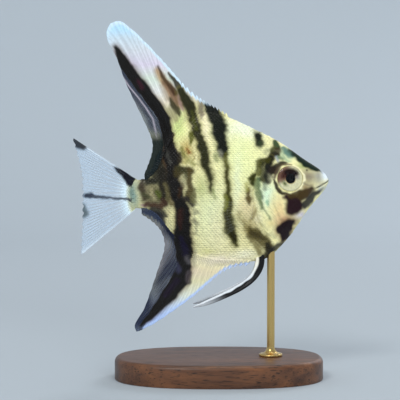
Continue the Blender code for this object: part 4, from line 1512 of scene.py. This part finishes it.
@dataclass(frozen=True)
class Fan:
    """The side view of a fin with straight rays from a root curve to a margin."""

    name: str
    root: Line
    margin: Line
    rays: Rays
    sway: float = 0.0  # how far it bends to the left, 10 mm behind its hinge
    hinge: float = -1.4
    columns: int = 300
    rows: int = 64

    def sheet(self, _: Body) -> Sheet:
        """The fin's grid: straight lines from root to margin.

        It bends by sway times the square of the distance behind the hinge, in tens of millimetres. The body,
        which Sail.sheet needs, isn't used.

        Returns:
            The sheet.
        """
        share = np.linspace(0, 1, self.columns)
        starts, ends = (resample(smooth_curve(line), share) for line in (self.root, self.margin))
        length = np.linalg.norm(ends - starts, axis=1)
        out = np.linspace(0, 1, self.rows)[:, None] * (1 - self.rays.draw_back(share, length))[None]
        flat = starts + (ends - starts) * out[..., None]
        behind = np.clip((self.hinge - flat[..., 0]) / 10, 0, None)
        return Sheet.bent(flat, share, out, self.sway * behind**2)


DORSAL = Sail(
    "dorsal_fin", Zone.DORSAL, (19.2, 1.9),
    (
        (19.0, 16.3), (16.3, 17.8), (13.0, 19.8), (9.5, 22.9), (6.6, 26.2), (2.8, 30.3), (-1.3, 34.2),
        (-3.7, 35.4), (-5.2, 34.9),
    ),
    (
        (1.8, 4.0), (2.9, 6.8), (3.5, 9.9), (2.4, 13.4), (-0.3, 19.0), (-2.5, 23.9), (-4.4, 28.8),
        (-6.0, 32.9), (-5.2, 34.9),
    ),
    ((0.0, 0.0), (0.24, 0.12), (0.45, 0.28), (0.56, 0.52), (0.66, 0.66), (0.8, 0.86), (1.0, 1.0)),
    curl=0.65, sway=0.9, rays=Rays(37, spines=12),
)  # fmt: skip
ANAL = Sail(
    "anal_fin", Zone.ANAL, (23.9, 1.3),
    ((23.2, -15.0), (20.3, -15.3), (17.0, -17.0), (13.0, -20.4), (7.9, -24.2), (3.3, -27.2), (0.1, -28.7)),
    (
        (1.2, -4.4), (3.4, -5.9), (5.3, -8.1), (5.9, -11.2), (5.0, -14.4), (3.8, -18.0), (2.6, -21.5),
        (1.1, -24.9), (-0.2, -27.6), (0.1, -28.7),
    ),
    ((0.0, 0.0), (0.3, 0.2), (0.46, 0.44), (0.54, 0.56), (0.7, 0.78), (0.84, 0.9), (1.0, 1.0)),
    curl=0.55, sway=-0.9, rays=Rays(32, spines=6),
)  # fmt: skip
TAIL = Fan(
    "tail_fin",
    ((0.0, 3.0), (-0.5, -0.1), (0.0, -3.4)),
    ((-13.2, 11.5), (-12.0, 7.3), (-11.2, 3.2), (-11.1, -0.8), (-11.1, -4.6), (-11.3, -8.6), (-11.5, -13.0)),
    Rays(17, tip_height=0.05, branch_at=0.3, notch=0.3, flesh=0.42),
    sway=1.6,
)
PECTORAL = Fan(
    "pectoral_fin",
    ((25.0, -2.3), (24.4, -4.7)),
    ((16.4, -0.9), (15.0, -2.6), (14.7, -4.9), (15.5, -7.2), (17.6, -8.9)),
    Rays(11, root_height=0.14, tip_height=0.04, branch_at=0.4, notch=0.15, flesh=0.2, flesh_reach=1.2),
    columns=150,
    rows=50,
)


@dataclass(frozen=True)
class Fins:
    """All seven fins: thin membranes with rays that stand out of them."""

    body: Body
    marble: Marble
    finishes: Finishes
    feeler_front: Line = (
        (26.5, -12.6), (26.5, -14.4), (25.4, -17.0), (22.6, -19.5), (18.3, -21.6), (14.2, -23.0),
        (11.9, -23.3),
    )  # fmt: skip
    feeler_rear: Line = (
        (24.9, -12.9), (24.6, -14.6), (24.0, -16.2), (21.2, -18.7), (17.0, -20.8), (13.6, -22.3),
        (11.8, -23.15),
    )  # fmt: skip

    def half(self, rays: Rays, sheet: Sheet) -> Array:
        """Half the fin's thickness: film, rays that thin outwards, and flesh between them at the root.

        Args:
            rays: The fin's rays.
            sheet: Its middle surface.

        Returns:
            One value for each point of the sheet.
        """
        height = rays.root_height + (rays.tip_height - rays.root_height) * sheet.out**0.6
        x, z = sheet.points[0, :, 0], sheet.points[0, :, 2]
        inside = self.body.flank(x, self.body.share(x, z)) - 0.06
        most = np.clip(np.minimum(inside, 0.08 + 0.2 * sheet.beyond[-1]), 0.05, rays.flesh)
        film = rays.film + (height - rays.film) * rays.ridge(sheet.root_share[None], sheet.out)
        return np.maximum(film, most * fade(sheet.beyond, -0.6, rays.flesh_reach))

    def cover(self, name: str, fin: str, sheet: Sheet, half: Array, colours: Array) -> None:
        """Makes a fin as a closed skin on both sides of its sheet.

        Args:
            name: The piece's name.
            fin: The fin's node, which it replaces.
            sheet: The fin's middle surface.
            half: Half its thickness at each point.
            colours: Colour and alpha at each point.
        """
        mesh, grids = Mesh(), []
        for side in (1, -1):
            face = sheet.points + side * half[..., None] * sheet.normal()
            grids.append(mesh.add_grids(face, colours, sheet.unwrap(side), flip=side < 0))
        mesh.close_sheet(*grids)
        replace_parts(mesh.build(name, "fin", self.finishes.fin, merge=2e-6), fin)

    def membrane(self, name: str, rays: Rays, sheet: Sheet, paint: Paint) -> None:
        """Makes one fin with rays, thinned at the rim.

        Args:
            name: The fin's node.
            rays: How the rays stand out.
            sheet: The fin's middle surface.
            paint: Gives colour and alpha from the sheet and its ridges.
        """
        column = np.arange(len(sheet.root_share))
        by_side = np.minimum(1.0, 0.25 + np.minimum(column, column[::-1]) / 4)[None]
        rim = by_side * np.minimum(1.0, 0.25 + 4 * (1 - sheet.out / sheet.out[-1:]))
        colours = paint(sheet, rays.ridge(sheet.root_share[None], sheet.out))
        self.cover(name.replace("_fin", "_fin_rays"), name, sheet, self.half(rays, sheet) * rim, colours)

    def base_scales(self, name: str, rays: Rays, sheet: Sheet, paint: Paint) -> None:
        """Small scales that climb from the body on to both sides of a fin's base, smaller as they go out.

        They keep to where the fin is opaque, and each has the fin's colour off its rays, painted shade
        included.

        Args:
            name: The piece's name.
            rays: The fin's rays.
            sheet: Its middle surface.
            paint: Gives colour and alpha from the sheet and its ridges.
        """
        scales = Scales(self.body, rise=0.035)
        # the fin's colour off the rays, with painted shade between rays on the dorsal and anal fins
        colours, beyond = paint(sheet, np.zeros_like(sheet.out)), sheet.beyond
        reach, apart, row_gap, solid = 0.8 * rays.flesh_reach, 0.5, 0.28, 0.86
        along_root = distance_along(sheet.points[0])
        rows = np.arange(0.1, reach, row_gap)
        row, at = crossed(rows, np.arange(0.3, along_root[-1] - 0.2, apart))
        at = at + (np.arange(len(rows)) % 2)[:, None] * apart / 2
        last = len(along_root) - 1
        column = np.interp(at, along_root, np.arange(last + 1))
        limit = reach * (0.8 + 0.25 * ripple(np.stack([0 * at, at], axis=-1), 1.7, 81))
        fits = (row < limit) & (row < 0.6 * np.interp(column, np.arange(last + 1), beyond[-1]) - 0.25)
        row, column = row[fits], np.clip(column[fits], 2, last - 2).astype(int)
        down = np.array([np.interp(r, beyond[:, c], np.arange(len(beyond))) for r, c in zip(row, column)])
        down = np.clip(down.round().astype(int), 1, len(beyond) - 3)
        opaque = colours[down, column, 3] > solid
        row, column, down = row[opaque], column[opaque], down[opaque]
        half = self.half(rays, sheet)[down, column, None]
        # the colour under each scale, painted shade included
        pigment = colours[down, column, None, None, :3]
        mesh = Mesh()
        for side in (1, -1):
            normal = side * sheet.normal()[down, column]
            stem = sheet.points[down, column] + half * normal
            along = unit(sheet.points[down + 2, column] - sheet.points[down - 1, column])
            size = 0.62 - 0.3 * smooth_step(row / reach)
            lie = Lie(stem, along, unit(normal), size, sheet.unwrap(side)[down, column])
            scales.plates(lie, lambda points: pigment + 0 * points, 60 + side, mesh)
        mesh.build(name, "fish_skin", self.finishes.scale)

    def rear_edge(self, z: Array) -> Array:
        """x of the wide rear bar's rear edge at z, behind which the fins are clear."""
        x, height, width = np.array(sorted(REAR_BAR[0], key=lambda point: point[1])).T
        return np.interp(z, height, x - width * 0.62)

    def dorsal_paint(self, sheet: Sheet, ridge: Array) -> Array:
        """Colours of the dorsal fin: marbled, bluish-white front edge and tip, smoky behind the rear bar.

        Args:
            sheet: The fin's middle surface.
            ridge: How much of a ray there is at each point.

        Returns:
            Colour and alpha, with painted shade on the membrane between the rays.
        """
        x, z = sheet.points[..., 0], sheet.points[..., 2]
        front = fade(sheet.root_share[None], 0.54, 0.6) * smooth_step(z, 17.6, 19.4)
        edge = 0.95 * front * fade(sheet.beyond[-1:] - sheet.beyond, 0.55, 1.05)
        colour = mix(self.marble.paint(sheet.points, Zone.DORSAL, sheet.beyond), "#d6edff", edge)
        back = self.rear_edge(z) - x
        pale = smooth_step(colour.mean(axis=-1), 0.02, 0.1)
        clear = np.maximum(pale * smooth_step(back, -1.3, -0.8), smooth_step(back, -0.1, 0.4))
        dusk = np.maximum(pale * smooth_step(back, -1.7, -1.1), smooth_step(back, -0.7, 0.0))
        behind = clear * smooth_step(z, 10.5, 14.0) * fade(z, 26.0, 28.5)
        smoke = behind * fade(back, 1.4, 3.0)
        colour = layers(
            colour,
            ("#0d1b1d", 0.985 * fade(z, 10.5, 14.0) * dusk),
            ("#4a5b78", 0.9 * behind * (1 - 0.2 * ridge)),
            ("#141d33", 0.85 * smoke),
            ("#b9b0bd", 0.9 * behind * bump(back - 0.75, 0.2)),
        )
        alpha = 0.97 - behind * (0.55 - 0.3 * ridge - 0.2 * smoke)
        # painted shade: the membrane between the rays is darker, the rays lighter
        return with_alpha(colour * (0.82 + 0.18 * ridge)[..., None], alpha)

    def anal_paint(self, sheet: Sheet, ridge: Array) -> Array:
        """Colours of the anal fin: cream and bluish-white before the bar, dark on it, smoky and clear behind.

        Args:
            sheet: The fin's middle surface.
            ridge: How much of a ray there is at each point.

        Returns:
            Colour and alpha, with painted shade on the membrane between the rays.
        """
        x, z = sheet.points[..., 0], sheet.points[..., 2]
        front = fade(sheet.root_share[None], 0.46, 0.52)
        edge = 0.9 * front * fade(sheet.beyond[-1:] - sheet.beyond, 0.5, 1.3)
        colour = mix(self.marble.paint(sheet.points, Zone.ANAL, sheet.beyond), "#b4ccf8", edge)
        back = self.rear_edge(z) - x
        pale = smooth_step(colour.mean(axis=-1), 0.02, 0.1)
        behind = np.maximum(pale * smooth_step(back, -1.3, -0.8), smooth_step(back, -0.1, 0.5))
        smoke = behind * np.clip(ripple(sheet.points, 3.0, 63) * 0.5 + 0.7, 0, 1) * fade(back, 1.6, 3.6)
        colour = layers(colour, ("#39435a", 0.95 * behind * (1 - 0.2 * ridge)), ("#131a34", 0.9 * smoke))
        alpha = 0.97 - behind * (0.5 - 0.3 * ridge - 0.25 * smoke) * smooth_step(sheet.beyond, 0.8, 3.0)
        # painted shade: the membrane between the rays is darker, the rays lighter
        return with_alpha(colour * (0.82 + 0.18 * ridge)[..., None], alpha)

    def tail_paint(self, sheet: Sheet, ridge: Array) -> Array:
        """Colours of the tail: pale blue-grey rays over a clear film, cream flesh at the root, dark marks.

        Args:
            sheet: The fin's middle surface.
            ridge: How much of a ray there is at each point.

        Returns:
            Colour and alpha.
        """
        points, root, beyond = sheet.points, sheet.root_share[None], sheet.beyond
        x = points[..., 0] + 0.1 * ripple(points, 1.5, 61)
        z = points[..., 2] + 0.1 * ripple(points, 1.5, 62)
        rim = bump(root, 0.03) + bump(root - 1, 0.03)
        colour = before = layers(
            plain("#bccfe2", x.shape),
            ("#dff1fb", fade(beyond, 1.5, 4.5)),
            (self.marble.paint(points), fade(beyond, 0.6, 1.7)),
            ("#dceaf6", rim),
        )
        for row in TAIL_MARKS:
            colour = Stroke(*row).lay(colour, x, z)
        dark = np.clip(np.abs(colour - before).sum(-1) / 1.6, 0, 1)
        alpha = 0.14 + (0.34 + 0.3 * fade(beyond, 2.0, 5.5)) * ridge
        alpha = alpha + 0.8 * fade(beyond, 1.2, 3.0) + 0.25 * rim + 0.6 * dark
        return with_alpha(colour, np.clip(alpha, 0, 0.97))

    def pectoral_paint(self, sheet: Sheet, ridge: Array) -> Array:
        """Colours of a pectoral fin: glass-clear film, pale rays, and the flank's pigment at the root.

        Args:
            sheet: The fin's middle surface.
            ridge: How much of a ray there is at each point.

        Returns:
            Colour and alpha.
        """
        flank = (self.marble.paint(sheet.points), fade(sheet.beyond, 0.4, 2.0))
        colour = layers(plain("#dcdfc6", sheet.out.shape), flank)
        alpha = 0.006 + 0.036 * ridge * (1 - 0.4 * sheet.out) + 0.7 * fade(sheet.beyond, 0.2, 1.4)
        return with_alpha(colour, np.clip(alpha, 0, 1))

    def pelvics(self) -> None:
        """Makes the two feelers: a stout front spine, dark, and a white trailing web."""
        down, across = crossed(np.linspace(0, 1, 120), np.linspace(0, 1, 22))
        front, rear = (resample(smooth_curve(line), down) for line in (self.feeler_front, self.feeler_rear))
        flat = front + (rear - front) * across[..., None]
        rays = sum(bump(across - c, 0.07) for c in (0.42, 0.6, 0.78, 0.93))
        rim = np.minimum(1, 0.3 + 3 * across) * np.minimum(1, 0.3 + 5 * (1 - across))
        half = (0.05 + 0.26 * bump(across - 0.16, 0.2) + 0.06 * rays) * (1 - 0.62 * down)
        half = half * rim * np.minimum(1, 0.2 + 12 * (1 - down))
        for side, name in SIDES:
            y = side * (0.75 + 2.4 * np.clip(down - 0.04, 0, 1) ** 1.3)
            sheet = Sheet.bent(flat, across[0], down, y)
            dark = fade(across + 0.06 * ripple(sheet.points, 2.0, 71), 0.6, 0.76)
            dark = dark * (1 - 0.6 * smooth_step(down, 0.6, 0.9))
            colour = layers(
                plain("#dfe4ea", down.shape),
                ("#f0ead6", fade(down, 0.0, 0.3)),
                ("#121113", dark),
                ("#4b5666", 0.5 * dark * smooth_step(down, 0.55, 1.0)),
            )
            self.cover(f"pelvic_feeler_{name}", f"pelvic_fin_{name}", sheet, half, with_alpha(colour, 0.97))

    def pectorals(self) -> None:
        """Makes the two clear fans behind the gill covers, held a little away from the flanks."""
        form = PECTORAL.sheet(self.body)
        (x, z), out = form.points[:1, :, ::2].T, form.out
        close = self.body.flank(x.T, self.body.share(x.T, z.T)) - 0.15
        y = close + 3.45 * out**1.1 + 0.35 * np.sin(math.pi * out)
        for side, name in SIDES:
            sheet = Sheet.bent(form.points[..., ::2], form.root_share, out, side * y)
            self.membrane(f"pectoral_fin_{name}", PECTORAL.rays, sheet, self.pectoral_paint)

    def build(self) -> None:
        """Makes every fin."""
        for form, paint in ((DORSAL, self.dorsal_paint), (ANAL, self.anal_paint), (TAIL, self.tail_paint)):
            sheet = form.sheet(self.body)
            self.membrane(form.name, form.rays, sheet, paint)
            self.base_scales(f"scales_{form.name.removesuffix('_fin')}_base", form.rays, sheet, paint)
        self.pelvics()
        self.pectorals()


# ---------------- stand and studio


@dataclass(frozen=True)
class Stand:
    """An oval wooden base and one turned rod into the fish's breast."""

    squareness: float = 2.4
    edge: float = 1.0  # radius of the board's upper edge
    foot_gap: float = 0.12  # how far the board's lower edge draws in
    radius: float = 0.8  # of the rod
    sunk: float = 0.28  # how far the rod's collar stands below its solid, on the board
    collar: float = 1.9  # height of the flare

    def lathe(self, rings: Array, name: str, slot: str, material: Material) -> bpy.types.Object:
        """Makes a piece from rings of points, from the top down, with a face over each end.

        Args:
            rings: Array (rings, points round each, 3), in millimetres.
            name: The piece's name.
            slot: Passed to Mesh.build, which doesn't use it.
            material: Its material.

        Returns:
            The piece.
        """
        rows, columns = rings.shape[:2]
        v, u = crossed(np.linspace(0.01, 0.99, rows), np.linspace(0.01, 0.99, columns))
        mesh = Mesh()
        number = mesh.add_grids(rings, np.ones((rows, columns, 4)), np.stack([u, v], axis=-1), closed=True)[0]
        mesh.cap(number[0], flip=True)
        mesh.cap(number[-1])
        return mesh.build(name, slot, material, Standing(), merge=2e-6)

    def box(self, name: str) -> tuple[Array, Array]:
        """The low and the high corner of a solid's box, in millimetres."""
        return tuple(np.array(corner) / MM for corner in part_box(name))

    def board(self, material: Material) -> None:
        """Makes the base: a flat super-ellipse, rounded above.

        Args:
            material: The varnished wood.
        """
        low, high = self.box("stand_base")
        centre, half = (low + high) / 2, (high - low) / 2
        turn = turns(200)
        ways = (np.cos(turn), np.sin(turn))
        shape = np.stack([np.sign(way) * np.abs(way) ** (2 / self.squareness) for way in ways], axis=-1)
        bend = np.linspace(0, math.pi / 2, 8)
        inner = half[1] * 0.98
        inward = np.r_[inner, half[1] * 0.6, self.edge * (1 - np.sin(bend)), 0.0, self.foot_gap, inner]
        height = np.r_[high[2], high[2], high[2] - self.edge * (1 - np.cos(bend)), 0.14, 0.0, 0.0]
        size = np.maximum(half[None, :2] - inward[:, None], 0.05)
        flat = centre[:2] + size[:, None] * shape
        rings = np.concatenate([flat, np.broadcast_to(height[:, None, None], (*flat.shape[:2], 1))], axis=-1)
        base = self.lathe(rings, "base_board", "stand_wood", material)
        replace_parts(base, "stand_base")

    def rod(self, material: Material) -> None:
        """Makes the rod: a plain bar that flares into a low collar.

        Args:
            material: The brass.
        """
        low, high = self.box("stand_rod")
        foot, radius, (x, y, _) = (high[0] - low[0]) / 2, self.radius, (high + low) / 2
        top, bottom = high[2], low[2] - self.sunk
        sweep = np.linspace(0, math.pi / 2, 12)
        widen, drop = (foot - 0.35 - radius) * (1 - np.cos(sweep)), 1.35 * np.sin(sweep)
        flare = radius + widen, bottom + self.collar - drop
        line = np.array(
            [(0.02, top), (radius - 0.2, top), (radius - 0.06, top - 0.06), (radius, top - 0.2)]
            + [(radius, z) for z in np.linspace(top - 0.6, bottom + 2.3, 24)]
            + list(zip(*flare))
            + [(foot - 0.12, bottom + 0.5), (foot, bottom + 0.36), (foot, bottom + 0.06)]
            + [(foot - 0.06, bottom), (0.02, bottom)]
        )
        away, turn = crossed(line[:, 0], turns(64))
        height = crossed(line[:, 1], turns(64))[0]
        rings = np.stack([x + away * np.cos(turn), y + away * np.sin(turn), height], axis=-1)
        rod = self.lathe(rings, "support_rod", "stand_metal", material)
        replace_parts(rod, "stand_rod")


@dataclass(frozen=True)
class Lamp:
    """A round soft light aimed at the fish's middle, which the camera doesn't see."""

    name: str
    place: tuple[float, float, float]  # metres
    size: float
    power: float  # watts
    colour: str
    gloss: bool = True  # whether it shows as a highlight in wet surfaces
    aim: tuple[float, float, float] = (0.0, 0.0, 0.04)  # the fish's middle, in metres

    def hang(self) -> None:
        """Makes the light."""
        light = bpy.data.lights.new(self.name, "AREA")
        light.shape, light.size, light.energy = "DISK", self.size, self.power
        light.color = tuple(linear(self.colour))
        lamp = bpy.data.objects.new(self.name, light)
        lamp.location = self.place
        lamp.rotation_euler = (Vector(self.aim) - Vector(self.place)).to_track_quat("-Z", "Y").to_euler()
        lamp.visible_camera, lamp.visible_glossy = False, self.gloss
        bpy.context.scene.collection.objects.link(lamp)


@dataclass(frozen=True)
class Studio:
    """Pale sweep of floor and wall, soft lights and the camera. Lengths are in metres."""

    lens: float = 120.0
    sensor: float = 36.0
    elevation: float = 2.5  # degrees
    margin: float = 1.12  # height of the view over the model's
    middle: float = 0.3  # radius of the floor's middle face
    flat: float = 0.4  # radius of the level floor
    curve: float = 0.4  # radius of its rise
    wall: float = 0.62
    around: int = 96
    air: str = "#f1f3f4"  # colour of the light from all round
    glow: float = 0.4  # its strength
    lamps: tuple[Lamp, ...] = (
        Lamp("key_softbox", (-0.44, -0.84, 0.92), 0.36, 4.75, "#fffefa"),
        Lamp("fill_softbox", (0.30, -0.92, 0.22), 0.5, 5.5, "#fdfefc", gloss=False),
        Lamp("top_softbox", (0.04, 0.08, 1.10), 0.6, 2.7, "#fffdf8"),
        Lamp("rim_softbox", (0.52, 0.74, 0.56), 0.4, 2.9, "#fbfcff"),
    )

    def sweep(self) -> None:
        """Makes a round floor that curves up into a low wall: a profile turned about the Z axis."""
        bend = np.linspace(0, math.pi / 2, 16)
        radius = np.r_[self.middle, self.flat, self.flat + self.curve * np.sin(bend), self.flat + self.curve]
        height = np.r_[0.0, 0.0, self.curve * (1 - np.cos(bend)), self.wall]
        away, turn = crossed(radius, turns(self.around))
        points = np.stack([away * np.cos(turn), away * np.sin(turn), away * 0 + height[:, None]], axis=-1)
        number = np.arange(away.size).reshape(away.shape)
        after = np.roll(number, -1, axis=1)
        quads = np.stack([number[:-1], after[:-1], after[1:], number[1:]], axis=-1).reshape(-1, 4)[:, ::-1]
        mesh = bpy.data.meshes.new("studio_floor")
        mesh.from_pydata(points.reshape(-1, 3).tolist(), [], [number[0].tolist()] + quads.tolist())
        mesh.shade_smooth()
        mesh.materials.append(Paper().material())
        floor = bpy.data.objects.new("studio_floor", mesh)
        floor.visible_shadow = False  # the lamps stand outside it and shine through
        bpy.context.scene.collection.objects.link(floor)

    def seat(self) -> None:
        """Sets the camera, which looks along +Y and a little down at the model's middle."""
        low, high = (np.array(corner) for corner in CAD_BOX)
        camera = bpy.data.cameras.new("camera")
        camera.lens, camera.sensor_width, camera.clip_start = self.lens, self.sensor, 0.01
        seat = bpy.data.objects.new("camera", camera)
        distance = float((high[2] - low[2]) * self.margin * self.lens / self.sensor)
        tilt = math.radians(self.elevation)
        seat.location = Vector((low + high) / 2) + Vector((0, -math.cos(tilt), math.sin(tilt))) * distance
        seat.rotation_euler = (math.pi / 2 - tilt, 0, 0)
        bpy.context.scene.collection.objects.link(seat)
        bpy.context.scene.camera = seat

    def build(self) -> None:
        """Sets the floor, the lights, the world and the camera."""
        self.sweep()
        for lamp in self.lamps:
            lamp.hang()
        world = bpy.data.worlds.new("studio_air")
        world.use_nodes = True
        air = world.node_tree.nodes["Background"].inputs
        air["Color"].default_value, air["Strength"].default_value = (*linear(self.air), 1), self.glow
        bpy.context.scene.world = world
        bpy.context.scene.view_settings.view_transform = "Standard"
        self.seat()


def main() -> None:
    """Builds the fish, its stand and the studio."""
    logging.basicConfig(level=logging.INFO, format="%(message)s")
    finishes, body, marble = Finishes(), Body(), Marble()
    body.skin(marble, finishes.skin)
    Scales(body).build(marble, finishes.scale)
    EYE.build(finishes)
    Fins(body, marble, finishes).build()
    Stand().board(finishes.walnut)
    Stand().rod(finishes.brass)
    Studio().build()


if __name__ == "__main__":
    main()
